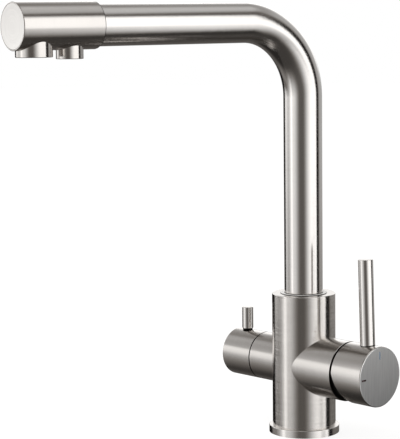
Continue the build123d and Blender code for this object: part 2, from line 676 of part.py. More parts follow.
# ---------------------------------------------------------------- filter knob
filter_lever_station = knob_start + FILTER_LEVER_SET
filter_lever_line = Plane(origin=(-filter_lever_station, 0, BRANCH_HEIGHT), x_dir=(0, 1, 0), z_dir=(0, 0, 1))
filter_lever_radius = FILTER_LEVER_DIAMETER / 2
filter_lever_neck = FILTER_LEVER_NECK / 2
filter_lever_foot = filter_radius + FILTER_LEVER_FOOT
filter_lever_seat = filter_radius - FILTER_LEVER_SINK
filter_thread_end = filter_lever_seat - FILTER_THREAD_LENGTH
knob_screw_radius = KNOB_SCREW_DIAMETER / 2
knob_screw_end = valve_spindle_radius + KNOB_SCREW_LENGTH
knob_screw_station = knob_floor + SPINDLE_GRIP / 2
under_knob = Plane(origin=(-knob_screw_station, 0, BRANCH_HEIGHT), x_dir=(1, 0, 0), z_dir=(0, 0, -1))
with BuildPart() as filter_knob:
    turned(leftward(), (knob_start, knob_end, filter_radius))
    bored(
        leftward(),
        (knob_start, knob_floor, filter_radius - KNOB_WALL),
        (knob_floor, valve_spindle_end + SEAT, valve_spindle_radius + SEAT),
    )
    bored(
        filter_lever_line,
        (filter_lever_seat, filter_radius + PAST, filter_lever_neck + SEAT),
        (filter_thread_end - PAST, filter_lever_seat, FILTER_LEVER_THREAD / 2 + SEAT),
    )
    bored(under_knob, (valve_spindle_radius, filter_radius + PAST, knob_screw_radius + SEAT))
    chamfer(rim(filter_knob, leftward(), knob_end, filter_radius), length=SOFT_EDGE)
filter_knob.part.label = "filter_knob"
export_step(filter_knob.part, "parts/filter_knob.step")

with BuildPart() as filter_lever:
    turned(
        filter_lever_line,
        (filter_thread_end, filter_lever_seat, FILTER_LEVER_THREAD / 2),
        (filter_lever_seat, filter_lever_foot, filter_lever_neck),
        (filter_lever_foot, FILTER_LEVER_TOP, filter_lever_radius),
    )
    chamfer(rim(filter_lever, filter_lever_line, FILTER_LEVER_TOP, filter_lever_radius), length=EDGE)
filter_lever.part.label = "filter_lever"
export_step(filter_lever.part, "parts/filter_lever.step")

with BuildPart() as knob_set_screw:
    turned(under_knob, (valve_spindle_radius, knob_screw_end, knob_screw_radius))
    hexagon_socket(under_knob, knob_screw_end, knob_screw_radius, KEY_DEPTH)
knob_set_screw.part.label = "knob_set_screw"
export_step(knob_set_screw.part, "parts/knob_set_screw.step")

# ---------------------------------------------------------------- spout
# One bend joins the upright to the level run; the drinking water tube follows the same line
with BuildPart() as spout_tube:
    with BuildLine(spout_side) as spout_route:
        FilletPolyline((0, tube_start), (0, SPOUT_HEIGHT), (tube_end, SPOUT_HEIGHT), radius=BEND_RADIUS)
    with BuildSketch(upright().offset(tube_start)) as tube_section:
        Circle(tube_radius)
        Circle(tube_bore, mode=Mode.SUBTRACT)
    sweep(tube_section.sketch, path=spout_route.wires()[0])
spout_tube.part.label = "spout_tube"
export_step(spout_tube.part, "parts/spout_tube.step")

# Two seal rings and the retaining screw's groove share the spigot's length
lower_ring = spigot_start + RING_SECTION
upper_ring = lower_ring + RING_PITCH
retaining_groove = GRUB_DIAMETER + 2 * FREE
spigot_top = tube_start + SPIGOT_REACH
grooves = [
    (lower_ring, RING_SECTION, RING_DEPTH),
    (upper_ring, RING_SECTION, RING_DEPTH),
    (grub_height - retaining_groove / 2, retaining_groove, GROOVE_DEPTH),
]
with BuildPart() as spout_spigot:
    turned(
        upright(),
        (spigot_start, tube_start, spigot_radius),
        (tube_start, spigot_top, tube_bore),
    )
    bored(upright(), (spigot_start, spigot_top, tube_bore - SPIGOT_WALL))
    for start, width, depth in grooves:
        with BuildSketch(upright().offset(start)) as groove:
            Circle(spigot_radius + PAST)
            Circle(spigot_radius - depth, mode=Mode.SUBTRACT)
        extrude(groove.sketch, amount=width, mode=Mode.SUBTRACT)
spout_spigot.part.label = "spout_spigot"
export_step(spout_spigot.part, "parts/spout_spigot.step")

with BuildPart() as spigot_seals:
    for start in (lower_ring, upper_ring):
        turned(upright(), (start, start + RING_SECTION, spigot_radius))
        bored(upright(), (start, start + RING_SECTION, spigot_radius - RING_DEPTH))
spigot_seals.part.label = "spigot_seals"
export_step(spigot_seals.part, "parts/spigot_seals.step")

# Drinking water has its own tube, from the pocket in the body to the elbow in the head
filtered_start = pocket_floor + FILTERED_FOOT
filtered_end = filter_outlet_reach - elbow_radius + ELBOW_SOCKET
with BuildPart() as filtered_tube:
    with BuildLine(spout_side) as filtered_route:
        FilletPolyline(
            (0, filtered_start), (0, SPOUT_HEIGHT), (filtered_end, SPOUT_HEIGHT), radius=BEND_RADIUS
        )
    with BuildSketch(upright().offset(filtered_start)) as filtered_section:
        Circle(filtered_tube_radius)
        Circle(filtered_tube_radius - FILTERED_TUBE_WALL, mode=Mode.SUBTRACT)
    sweep(filtered_section.sketch, path=filtered_route.wires()[0])
filtered_tube.part.label = "filtered_tube"
export_step(filtered_tube.part, "parts/filtered_tube.step")

seal_middle = (filtered_start + socket_floor) / 2
pocket_seal = (seal_middle - POCKET_SEAL / 2, seal_middle + POCKET_SEAL / 2)
with BuildPart() as filtered_tube_seal:
    turned(upright(), (*pocket_seal, pocket_radius - RUNNING))
    bored(upright(), (*pocket_seal, filtered_tube_radius))
filtered_tube_seal.part.label = "filtered_tube_seal"
export_step(filtered_tube_seal.part, "parts/filtered_tube_seal.step")

# ---------------------------------------------------------------- head and outlets
main_line = outlet_line(main_outlet_reach)
drink_line = outlet_line(filter_outlet_reach)
main_top = -(head_bore - MAIN_OUTLET_SEAT)
drink_top = -((head_bore**2 - (elbow_radius + FREE) ** 2) ** 0.5)
end_cap_radius = head_radius - END_CAP_RIM
with BuildPart() as spout_head:
    turned(forward, (head_start, REACH, head_radius))
    chamfer(rim(spout_head, forward, head_start, head_radius), length=EDGE)
    bored(
        forward,
        (head_start, head_start + HEAD_SEAM_DEPTH, tube_radius + HEAD_SEAM),
        (head_start, tube_end, tube_radius),
        (tube_end, cap_seat, head_bore),
        (cap_seat, REACH, end_cap_radius + SEAT),
    )
    bored(main_line, (-head_radius - PAST, main_top, main_outlet_radius))
    bored(drink_line, (-head_radius - PAST, drink_top, filter_outlet_radius))
spout_head.part.label = "spout_head"
export_step(spout_head.part, "parts/spout_head.step")

with BuildPart() as head_end_cap:
    turned(forward, (cap_seat, REACH, end_cap_radius))
    chamfer(rim(head_end_cap, forward, REACH, end_cap_radius), length=EDGE / 2)
head_end_cap.part.label = "head_end_cap"
export_step(head_end_cap.part, "parts/head_end_cap.step")

main_bore = main_outlet_radius - OUTLET_WALL
aerator_bottom = OUTLET_RECESS - MAIN_OUTLET_DROP
aerator_top = aerator_bottom + AERATOR_LENGTH
washer_top = aerator_top + WASHER_THICKNESS
with BuildPart() as main_outlet_collar:
    turned(main_line, (-MAIN_OUTLET_DROP, main_top, main_outlet_radius))
    bored(
        main_line,
        (-MAIN_OUTLET_DROP, washer_top, main_bore),
        (washer_top, main_top, main_bore - WASHER_WIDTH),
    )
    chamfer(rim(main_outlet_collar, main_line, -MAIN_OUTLET_DROP, main_outlet_radius), length=EDGE)
main_outlet_collar.part.label = "main_outlet_collar"
export_step(main_outlet_collar.part, "parts/main_outlet_collar.step")

# Aerator insert: a cup whose floor is a plate with a ring of round holes
with BuildPart() as aerator_insert:
    turned(main_line, (aerator_bottom, aerator_top, main_bore - SEAT))
    bored(main_line, (aerator_bottom + AERATOR_FLOOR, aerator_top, main_bore - AERATOR_WALL))
    with BuildSketch(main_line.offset(aerator_bottom)) as spray_holes:
        Circle(AERATOR_HOLE / 2)
        with PolarLocations(AERATOR_CIRCLE / 2, AERATOR_HOLES):
            Circle(AERATOR_HOLE / 2)
    extrude(spray_holes.sketch, amount=AERATOR_FLOOR, mode=Mode.SUBTRACT)
aerator_insert.part.label = "aerator_insert"
export_step(aerator_insert.part, "parts/aerator_insert.step")

with BuildPart() as aerator_seal:
    turned(main_line, (aerator_top, washer_top, main_bore - SEAT))
    bored(main_line, (aerator_top, washer_top, main_bore - WASHER_WIDTH))
aerator_seal.part.label = "aerator_seal"
export_step(aerator_seal.part, "parts/aerator_seal.step")

nozzle_bottom = OUTLET_RECESS - FILTER_OUTLET_DROP
nozzle_top = nozzle_bottom + NOZZLE_LENGTH
nozzle_radius = filter_outlet_radius - OUTLET_WALL
with BuildPart() as filter_outlet_collar:
    turned(drink_line, (-FILTER_OUTLET_DROP, drink_top, filter_outlet_radius))
    bored(
        drink_line,
        (-FILTER_OUTLET_DROP, nozzle_top, nozzle_radius),
        (nozzle_top, drink_top, elbow_radius + SEAT),
    )
    chamfer(rim(filter_outlet_collar, drink_line, -FILTER_OUTLET_DROP, filter_outlet_radius), length=EDGE)
filter_outlet_collar.part.label = "filter_outlet_collar"
export_step(filter_outlet_collar.part, "parts/filter_outlet_collar.step")

with BuildPart() as filter_nozzle:
    turned(drink_line, (nozzle_bottom, nozzle_top, nozzle_radius - SEAT))
    bored(
        drink_line,
        (nozzle_bottom, nozzle_top, filter_waterway),
        (nozzle_bottom, nozzle_bottom + NOZZLE_DISH, nozzle_radius - NOZZLE_LIP),
    )
filter_nozzle.part.label = "filter_nozzle"
export_step(filter_nozzle.part, "parts/filter_nozzle.step")

with BuildPart() as filter_elbow:
    turned(drink_line, (nozzle_top, filtered_tube_radius + ELBOW_WALL, elbow_radius))
    bored(drink_line, (nozzle_top, 0, filter_waterway))
    bored(forward, (filter_outlet_reach - elbow_radius - PAST, filtered_end, filtered_tube_radius))
    bored(forward, (filtered_end, filter_outlet_reach, filter_waterway))
filter_elbow.part.label = "filter_elbow"
export_step(filter_elbow.part, "parts/filter_elbow.step")
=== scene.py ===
# %% [markdown]
# # Three way filtered water tap
# A kitchen tap in brushed steel: an upright body on a base ring, a wide branch on the right for the hot and
# cold mixer, a narrow one on the left for filtered water, and a spout of one bent tube with a thicker head.
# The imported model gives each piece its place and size. This lesson models the pieces that show once more,
# with round edges and smooth walls, and gives every piece its finish. All lengths are in metres.

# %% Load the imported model
import math

import bmesh
import bpy
from mathutils import Matrix, Vector


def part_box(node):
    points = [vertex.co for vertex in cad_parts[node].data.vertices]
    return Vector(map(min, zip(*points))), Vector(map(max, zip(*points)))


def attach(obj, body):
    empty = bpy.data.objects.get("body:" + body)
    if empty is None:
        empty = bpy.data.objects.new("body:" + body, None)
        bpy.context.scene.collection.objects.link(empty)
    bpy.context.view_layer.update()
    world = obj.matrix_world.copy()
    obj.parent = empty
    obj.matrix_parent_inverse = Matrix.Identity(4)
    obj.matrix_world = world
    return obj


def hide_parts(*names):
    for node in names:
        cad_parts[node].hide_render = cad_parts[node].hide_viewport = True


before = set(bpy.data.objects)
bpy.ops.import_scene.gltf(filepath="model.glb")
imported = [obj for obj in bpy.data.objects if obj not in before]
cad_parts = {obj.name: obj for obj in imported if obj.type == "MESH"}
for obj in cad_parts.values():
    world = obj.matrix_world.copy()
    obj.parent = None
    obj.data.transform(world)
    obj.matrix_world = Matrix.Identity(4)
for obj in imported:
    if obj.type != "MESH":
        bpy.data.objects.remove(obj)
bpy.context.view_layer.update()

MM = 0.001
print("nodes:", len(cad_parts))

# %% [markdown]
# ## The camera
# The picture is taken from the front right, about level with the spout and about 1.2 metres away. The
# camera was found by matching the tap's straight edges and end discs to their outlines, so it is written as
# the few numbers that such a match gives: direction, distance, height, and its turn, tip and roll.

# %% Place the camera
CAMERA_ROUND = math.radians(43.517)
CAMERA_DISTANCE = 1.185951
CAMERA_HEIGHT = 0.2962
CAMERA_YAW = math.radians(3.528)
CAMERA_PITCH = math.radians(-6.89)
CAMERA_ROLL = math.radians(-0.701)
FOCAL_PIXELS = 1687.016
PICTURE_HEIGHT = 439
SENSOR = 36

facing = CAMERA_ROUND + CAMERA_YAW
level_ahead = Vector((-math.sin(facing), math.cos(facing), 0))
ahead = level_ahead * math.cos(CAMERA_PITCH) + Vector((0, 0, math.sin(CAMERA_PITCH)))
right = Vector((math.cos(facing), math.sin(facing), 0))
above = right.cross(ahead)
frame_right = right * math.cos(CAMERA_ROLL) + above * math.sin(CAMERA_ROLL)
frame_up = above * math.cos(CAMERA_ROLL) - right * math.sin(CAMERA_ROLL)
to_camera = Vector((math.sin(CAMERA_ROUND), -math.cos(CAMERA_ROUND), 0))
eye = to_camera * CAMERA_DISTANCE + Vector((0, 0, CAMERA_HEIGHT))

lens = bpy.data.cameras.new("front_right")
lens.lens = FOCAL_PIXELS * SENSOR / PICTURE_HEIGHT
lens.clip_start = 0.05
camera = bpy.data.objects.new("front_right", lens)
camera.matrix_world = Matrix((frame_right, frame_up, -ahead)).transposed().to_4x4()
camera.matrix_world.translation = eye
bpy.context.scene.collection.objects.link(camera)
bpy.context.scene.camera = camera
bpy.context.scene.view_settings.view_transform = "Standard"
print("lens", round(lens.lens, 1), "mm")

# %% [markdown]
# ## Shader maths as Python
# A finish is a tree of nodes, and most of them are plain arithmetic. One small class wraps a socket, so
# that adding or multiplying two of them adds the Math node that does it. Any other node comes from one
# method, which takes its kind, its settings and its sockets.

# %% The socket class and the look class
def two_values(operation):
    """A method that joins a socket and another value with one Math node."""
    return lambda self, other: self.maths(operation, self, other)


class Socket:
    """A node's output that can be added, multiplied and so on, as a number can."""

    def __init__(self, look, output):
        self.look = look
        self.output = output

    def maths(self, operation, *values):
        return self.look.node("ShaderNodeMath", {"operation": operation}, dict(enumerate(values)))

    __add__ = __radd__ = two_values("ADD")
    __mul__ = __rmul__ = two_values("MULTIPLY")
    __sub__ = two_values("SUBTRACT")
    __truediv__ = two_values("DIVIDE")
    at_least = two_values("MAXIMUM")
    at_most = two_values("MINIMUM")
    turn_from = two_values("ARCTAN2")

    def __rsub__(self, other):
        return self.maths("SUBTRACT", other, self)

    def size(self):
        return self.maths("ABSOLUTE", self)

    def within(self, low, high):
        return self.at_least(low).at_most(high)

    def ramp(self, low, high):
        """0 below low and 1 above high, with a soft rise between them; low may be the larger one."""
        values = {"Value": self, "From Min": low, "From Max": high}
        return self.look.node("ShaderNodeMapRange", {"interpolation_type": "SMOOTHSTEP"}, values)


class Look:
    """The node tree of a material or of the world, with the calls that fill it."""

    def __init__(self, block):
        block.use_nodes = True
        self.block = block
        self.tree = block.node_tree
        self.tree.nodes.clear()

    def feed(self, socket, value):
        """Gives a socket a value, or links another socket to it."""
        if isinstance(value, Socket):
            self.tree.links.new(value.output, socket)
        else:
            socket.default_value = value

    def node(self, kind, settings=None, sockets=None, output=0):
        """Adds a node: its settings are set first, then its sockets get values or links."""
        made = self.tree.nodes.new(kind)
        for name, value in (settings or {}).items():
            setattr(made, name, value)
        for name, value in (sockets or {}).items():
            self.feed(made.inputs[name], value)
        return Socket(self, made.outputs[output]) if made.outputs else None

    def vector(self, operation, *values, output="Vector", **named):
        sockets = dict(enumerate(values)) | named
        return self.node("ShaderNodeVectorMath", {"operation": operation}, sockets, output)

    def dot(self, first, second):
        return self.vector("DOT_PRODUCT", first, second, output="Value")

    def parts(self, vector):
        """The three numbers of a vector socket."""
        split = self.node("ShaderNodeSeparateXYZ", None, {"Vector": vector}).output.node
        return [Socket(self, output) for output in split.outputs]

    def joined(self, x, y, z):
        return self.node("ShaderNodeCombineXYZ", None, {"X": x, "Y": y, "Z": z})

    def noise(self, vector, scale, detail=2.0, roughness=0.5):
        """Noise from 0 to 1, as a number."""
        sockets = {"Vector": vector, "Scale": scale, "Detail": detail, "Roughness": roughness}
        return self.node("ShaderNodeTexNoise", {"normalize": True}, sockets, "Fac")

    def blend(self, share, first, second):
        """The first colour where share is 0 and the second where it is 1."""
        mix = self.tree.nodes.new("ShaderNodeMix")
        mix.data_type = "RGBA"
        sockets = {"Factor_Float": share, "A_Color": first, "B_Color": second}
        for socket in mix.inputs:
            if socket.identifier in sockets:
                self.feed(socket, sockets[socket.identifier])
        colour = next(o for o in mix.outputs if o.identifier == "Result_Color")
        return Socket(self, colour)

    def place(self):
        """Where a point of the piece is, in the tap's own frame."""
        return self.node("ShaderNodeTexCoord", output="Object")

    def bump(self, height, strength, distance, **more):
        sockets = {"Height": height, "Strength": strength, "Distance": distance} | more
        return self.node("ShaderNodeBump", None, sockets, "Normal")

    def surface(self, **sockets):
        """The shader and the output that end a material's tree."""
        named = {name.replace("_", " "): value for name, value in sockets.items()}
        shader = self.node("ShaderNodeBsdfPrincipled", None, named)
        self.node("ShaderNodeOutputMaterial", None, {"Surface": shader})
        return self.block


def new_look(name):
    return Look(bpy.data.materials.new(name))


print("shader helpers ready")

# %% [markdown]
# ## The studio
# Brushed metal has almost no colour of its own: it shows the room. In the picture the tap's walls are split
# into upright bands, so the room has a soft light at each side, a dark wall behind the camera, a black card
# past each light and a bright screen low behind the tap. The world holds them as soft patches, each with
# its direction, size and strength. Only glossy rays see them. The camera sees a white backdrop, and
# diffuse surfaces get one plain level.

# %% Paint the room that the metal reflects
DARK_ROOM = 0.13
DARKER_BELOW = (-60, -20)
WARM_DARK = (1.0, 0.93, 0.87, 1)
WARM_UNDER = (0.05, 0.60)
WHITE = (1, 1, 1, 1)
DIFFUSE_LEVEL = 0.85
# where each light fades in, is full and fades out: round the tap from the camera, then up from level
LIGHTS = {
    "left light": ((-92, -82, -56, -16), (-55, 2, 20, 62), 0.46),
    "left shoulder": ((-136, -124, -56, -16), (-52, 8, 22, 66), 0.40),
    "left core": ((-80, -75, -71, -60), (-45, -10, 20, 40), 0.60),
    "left streak": ((-150, -112, -62, -34), (-14, 13, 16, 22), 0.38),
    "far left": ((-134, -124, -93, -85), (-8, 4, 14, 22), 0.40),
    "right light": ((0, 52, 84, 89), (-50, 2, 28, 42), 1.48),
    "ceiling": ((30, 95, 135, 178), (42, 54, 62, 89), 0.50),
}
# these are behind the tap or above it, and alike on both sides
BEHIND = {
    "back wall": ((98, 120, 181, 190), (-16, -4, 30, 60), 0.38),
    "low screen": ((130, 160, 181, 190), (-1, 7, 20, 34), 1.00),
    "top light": ((-2, -1, 181, 190), (58, 72, 91, 92), 0.90),
}
# black cards take light away
CARDS = {
    "right card": ((85.5, 89, 101, 111), (-60, -30, 12, 34), 0.96),
    "low right card": ((54, 62, 72, 78), (-60, -50, -12, -8), 0.35),
    "left card": ((-170, -160, -134, -126), (-24, -15, 2, 16), 0.97),
    "low left card": ((-150, -140, -108, -94), (-26, -18, -13, -10), 0.55),
    "under card": ((-182, -181, -98, -86), (-92, -91, -52, -38), 0.55),
}

world = bpy.data.worlds.new("light_room")
bpy.context.scene.world = world
room = Look(world)
towards = room.node("ShaderNodeTexCoord", output="Generated")
ahead_share = room.dot(towards, to_camera)
side_share = room.dot(towards, Vector((math.cos(CAMERA_ROUND), math.sin(CAMERA_ROUND), 0)))
degrees = 180 / math.pi
round_tap = side_share.turn_from(ahead_share) * degrees
height_share = room.parts(towards)[2]
rise = height_share.maths("ARCSINE", height_share) * degrees


def patch(angle, span, lift, height):
    """A soft patch of the room: 1 in its middle, 0 outside."""
    across = angle.ramp(span[0], span[1]) * angle.ramp(span[3], span[2])
    return across * lift.ramp(height[0], height[1]) * lift.ramp(height[3], height[2])


shown = rise.ramp(*DARKER_BELOW) * (DARK_ROOM / 2) + DARK_ROOM / 2
for lights, angle in ((LIGHTS, round_tap), (BEHIND, round_tap.size())):
    for span, height, strength in lights.values():
        shown = shown + patch(angle, span, rise, height) * strength
for span, height, depth in CARDS.values():
    shown = shown * (1 - patch(round_tap, span, rise, height) * depth)

rays = room.node("ShaderNodeLightPath").output.node
camera_ray = Socket(room, rays.outputs["Is Camera Ray"])
glossy_ray = Socket(room, rays.outputs["Is Glossy Ray"])
clear_ray = Socket(room, rays.outputs["Is Transmission Ray"])
white = (camera_ray + clear_ray).at_most(1)
strength = white + (1 - white) * (glossy_ray * shown + (1 - glossy_ray) * DIFFUSE_LEVEL)
tone = room.blend(shown.ramp(*WARM_UNDER).at_least(white), WARM_DARK, WHITE)
background = room.node("ShaderNodeBackground", None, {"Color": tone, "Strength": strength})
room.node("ShaderNodeOutputWorld", None, {"Surface": background})
print(len(LIGHTS) + len(BEHIND), "patches of light in the room")

# %% [markdown]
# ## The floor
# The tap stands on a pale table, a disc wide enough to fill the picture. It keeps the soft shadow of the
# base ring and the branches, and most of its white is its own glow. Metal sees the room and not the disc.

# %% Lay the table and hang the lamp
TABLE_RADIUS = 6.0
TABLE_GLOW = 0.70
GLOW_STRENGTH = 1.17
TABLE_COLOUR = (0.82, 0.82, 0.82, 1)
bpy.ops.object.select_all(action="DESELECT")
bpy.ops.mesh.primitive_circle_add(vertices=96, radius=TABLE_RADIUS, fill_type="NGON")
table = bpy.context.object
table.name = "pale_table"
table.visible_glossy = False

look = new_look("pale_table")
lit = look.node("ShaderNodeBsdfDiffuse", None, {"Color": TABLE_COLOUR})
glow = look.node("ShaderNodeEmission", None, {"Color": WHITE, "Strength": GLOW_STRENGTH})
mixed = look.node("ShaderNodeMixShader", None, {0: TABLE_GLOW, 1: lit, 2: glow})
look.node("ShaderNodeOutputMaterial", None, {"Surface": mixed})
table.data.materials.append(look.block)

LAMP_SIZE = 1.4
LAMP_POWER = 14.0
LAMP_PLACE = Vector((-0.5, -0.9, 1.7))
lamp_data = bpy.data.lights.new("overhead_softbox", "AREA")
lamp_data.size = LAMP_SIZE
lamp_data.energy = LAMP_POWER
lamp = bpy.data.objects.new("overhead_softbox", lamp_data)
lamp.visible_glossy = False
lamp.location = LAMP_PLACE
lamp.rotation_euler = (-LAMP_PLACE).to_track_quat("-Z", "Y").to_euler()
bpy.context.scene.collection.objects.link(lamp)
print("table and lamp in place")

# %% [markdown]
# ## Lines to model along
# Each piece of a tap is turned on a lathe or bent from tube, so each has a line through its middle. A point
# is then known by two numbers: how far along the line it is, and how far from it. With those, the faces
# and edges for an operator are found by their place.

# %% Lines and the calls that pick, inset, push and soften
SIDES = 192
ROD_SIDES = 96
SMALL_SIDES = 48
TOUCH = 0.02 * MM
UP = Vector((0, 0, 1))
ALONG_X = Vector((1, 0, 0))


class Line:
    """A straight line, with how far along it and how far from it a point is."""

    def __init__(self, origin, direction):
        self.origin = Vector(origin)
        self.direction = Vector(direction).normalized()

    def at(self, station):
        return self.origin + self.direction * station

    def station(self, point):
        return (point - self.origin).dot(self.direction)

    def radius(self, point):
        return (point - self.at(self.station(point))).length

    def turn(self):
        return self.direction.to_track_quat("Z", "Y").to_euler()


def near(first, second):
    return abs(first - second) < TOUCH


def fresh():
    """Leaves edit mode with nothing selected."""
    if bpy.context.mode != "OBJECT":
        bpy.ops.object.mode_set(mode="OBJECT")
    bpy.ops.object.select_all(action="DESELECT")


def hold(piece):
    """Selects one piece and makes it the one that operators act on."""
    fresh()
    piece.select_set(True)
    bpy.context.view_layer.objects.active = piece
    return piece


def edit_all(piece):
    """Opens a piece in edit mode with everything selected."""
    hold(piece)
    bpy.ops.object.mode_set(mode="EDIT")
    bpy.ops.mesh.select_all(action="SELECT")


def modify(piece, kind, **settings):
    """Adds a modifier to the held piece and applies it."""
    modifier = piece.modifiers.new("change", kind)
    for name, value in settings.items():
        setattr(modifier, name, value)
    bpy.ops.object.modifier_apply(modifier=modifier.name)


def named(name):
    """Names the new piece and settles its place, turn and size into its mesh."""
    piece = bpy.context.object
    piece.name = name
    piece.data.name = name
    bpy.ops.object.transform_apply(location=True, rotation=True, scale=True)
    return piece


def cylinder(name, line, start, end, radius, sides=SIDES):
    """A plain cylinder between two stations of a line: the start of a turned piece."""
    fresh()
    middle = line.at((start + end) / 2)
    size = {"vertices": sides, "radius": radius, "depth": end - start}
    bpy.ops.mesh.primitive_cylinder_add(location=middle, rotation=line.turn(), **size)
    return named(name)


def block(name, middle, size):
    """A plain box round a point."""
    fresh()
    bpy.ops.mesh.primitive_cube_add(size=1, location=middle)
    bpy.context.object.scale = size
    return named(name)


def pick(piece, kind, test):
    """Selects the faces or edges of the piece whose middle passes the test."""
    hold(piece)
    bpy.ops.object.mode_set(mode="EDIT")
    bpy.ops.mesh.select_mode(type=kind)
    bpy.ops.mesh.select_all(action="DESELECT")
    cage = bmesh.from_edit_mesh(piece.data)
    parts_of = cage.faces if kind == "FACE" else cage.edges
    found = 0
    for element in parts_of:
        corners = [corner.co for corner in element.verts]
        if test(sum(corners, Vector()) / len(corners)):
            element.select_set(True)
            found += 1
    bmesh.update_edit_mesh(piece.data)
    return found


def pick_disc(piece, line, stations, radius):
    """Selects the round end faces at the stations, no wider than the radius."""
    ends = [stations] if isinstance(stations, float) else stations

    def on_disc(p):
        return any(near(line.station(p), end) for end in ends) and line.radius(p) < radius
    return pick(piece, "FACE", on_disc)


def inset(thickness):
    bpy.ops.mesh.inset(thickness=thickness, use_boundary=True)


def inset_disc(piece, line, stations, radius, inner):
    """Insets round end faces from one radius down to another."""
    pick_disc(piece, line, stations, radius)
    inset(radius - inner)


def push(line, distance):
    """Extrudes what is selected along the line."""
    bpy.ops.mesh.extrude_region_move(TRANSFORM_OT_translate={"value": line.direction * distance})


def soften(width, steps=3):
    """Rounds the selected edges."""
    bpy.ops.mesh.bevel(offset=width, segments=steps, affect="EDGES")


def round_rim(piece, line, station, radius, width, steps=3):
    """Rounds the round edge at a station and radius."""
    def on_rim(p):
        return near(line.station(p), station) and near(line.radius(p), radius)
    pick(piece, "EDGE", on_rim)
    soften(width, steps)


def open_through(piece, line, stations, radius):
    """Opens a way between two round end faces."""
    pick_disc(piece, line, stations, radius)
    bpy.ops.mesh.bridge_edge_loops()


def pocket(piece, line, station, radius, inner, depth):
    """A round blind hole: inset from the rim of an end face, then pushed in."""
    inset_disc(piece, line, station, radius, inner)
    pick_disc(piece, line, station, inner)
    push(line, depth)


def combine(piece, tool, operation):
    """A Boolean of two solids, applied; the second one goes."""
    hold(piece)
    modify(piece, "BOOLEAN", operation=operation, solver="EXACT", object=tool)
    bpy.data.objects.remove(tool)


def drill(piece, line, start, end, radius, sides=SIDES):
    """Cuts a round bore between two stations of a line."""
    combine(piece, cylinder("bore", line, start, end, radius, sides), "DIFFERENCE")


SMOOTH_ANGLE = math.radians(32)
models = {}


def finish(piece, body, *nodes, sharp_over=SMOOTH_ANGLE):
    """Turns faces outward, shades the piece, and ties it to its body and to the nodes it stands for."""
    edit_all(piece)
    bpy.ops.mesh.normals_make_consistent(inside=False)
    bpy.ops.object.mode_set(mode="OBJECT")
    bpy.ops.object.shade_smooth_by_angle(angle=sharp_over)
    modify(piece, "WEIGHTED_NORMAL", keep_sharp=True)
    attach(piece, body)
    if nodes:
        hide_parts(*nodes)
    models[piece.name] = piece
    corners = [vertex.co for vertex in piece.data.vertices]
    span = [round((max(c[i] for c in corners) - min(c[i] for c in corners)) / MM, 1) for i in range(3)]
    print(piece.name, "spans", span, "mm in", len(piece.data.polygons), "faces")


upright = Line((0, 0, 0), UP)
print("upright line ready")

# %% [markdown]
# ## Base ring
# The tap stands on a turned ring a little wider than the body, with a gasket in a groove below it. Its top
# edge has a small round that catches a bright line. The ring starts as a cylinder, is opened through its
# middle by a bridge between the two inset ends, and the groove is pushed up from below.

# %% Turn the base ring
EDGE_BREAK = 0.45 * MM
body_radius = 22.5 * MM
ring_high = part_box("base_ring")[1]
ring_radius = ring_high.x
ring_height = ring_high.z
neck_radius = body_radius - 2 * MM
gasket_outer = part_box("base_gasket")[1].x
GASKET_WIDTH = 2 * MM
gasket_inner = gasket_outer - GASKET_WIDTH
GASKET_DEPTH = 1.5 * MM

base_ring = cylinder("foot_ring", upright, 0, ring_height, ring_radius)
round_rim(base_ring, upright, ring_height, ring_radius, EDGE_BREAK)
inset_disc(base_ring, upright, 0.0, ring_radius, gasket_outer)
inset_disc(base_ring, upright, 0.0, gasket_outer, gasket_inner)
inset_disc(base_ring, upright, 0.0, gasket_inner, neck_radius)
inset_disc(base_ring, upright, ring_height, ring_radius - EDGE_BREAK, neck_radius)
open_through(base_ring, upright, [0.0, ring_height], neck_radius)
pick(base_ring, "FACE", lambda p: near(p.z, 0) and gasket_inner < upright.radius(p) < gasket_outer)
push(upright, GASKET_DEPTH)
finish(base_ring, "tap_base", "base_ring")

# %% [markdown]
# ## Body
# The body is three turned sleeves brazed into one shell: the upright, the mixer's housing on the right and
# the filter valve's housing on the left. Each sleeve starts as a cylinder whose rim is rounded. Boolean
# unions join them, and differences open the housings, the spout's socket and the inlet block's seat. The
# mixer's sleeve meets the body's front at only 21 degrees, so seams are kept sharp from 20 degrees on.

# %% Join the three sleeves and bore them
body_top = 100 * MM
branch_height = 49.4 * MM
mixer_line = Line((0, 0, branch_height), ALONG_X)
filter_line = Line((0, 0, branch_height), -ALONG_X)
body_low, body_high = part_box("tap_body")
mixer_radius = 21 * MM
mixer_rim = body_high.x
filter_radius = 17.1 * MM
filter_rim = -body_low.x
NECK_RISE = 1 * MM
BUSH_RADIUS = 16.5 * MM
BUSH_SEAT = 94.5 * MM
SOCKET_RADIUS = 13 * MM
SOCKET_FLOOR = 74 * MM
BLOCK_RADIUS = 18.5 * MM
BLOCK_TOP = 14 * MM
CARTRIDGE_BORE = 17.4 * MM
NUT_BORE = 18.5 * MM
VALVE_BORE, VALVE_SEAT = 10.05 * MM, 15 * MM
HEADWORK_BORE, HEADWORK_SEAT = 12.3 * MM, 33 * MM
PLAY = 0.05 * MM
RIM_STEPS = 6
SEAM_ANGLE = math.radians(20)

tap_body = cylinder("body_shell", upright, ring_height, body_top, body_radius)
round_rim(tap_body, upright, body_top, body_radius, EDGE_BREAK, RIM_STEPS)
pocket(tap_body, upright, ring_height, body_radius, neck_radius, NECK_RISE - ring_height)
sleeves = ((mixer_line, mixer_radius, mixer_rim), (filter_line, filter_radius, filter_rim))
for line, radius, rim_station in sleeves:
    sleeve = cylinder("sleeve", line, 0, rim_station, radius)
    round_rim(sleeve, line, rim_station, radius, EDGE_BREAK, RIM_STEPS)
    combine(tap_body, sleeve, "UNION")

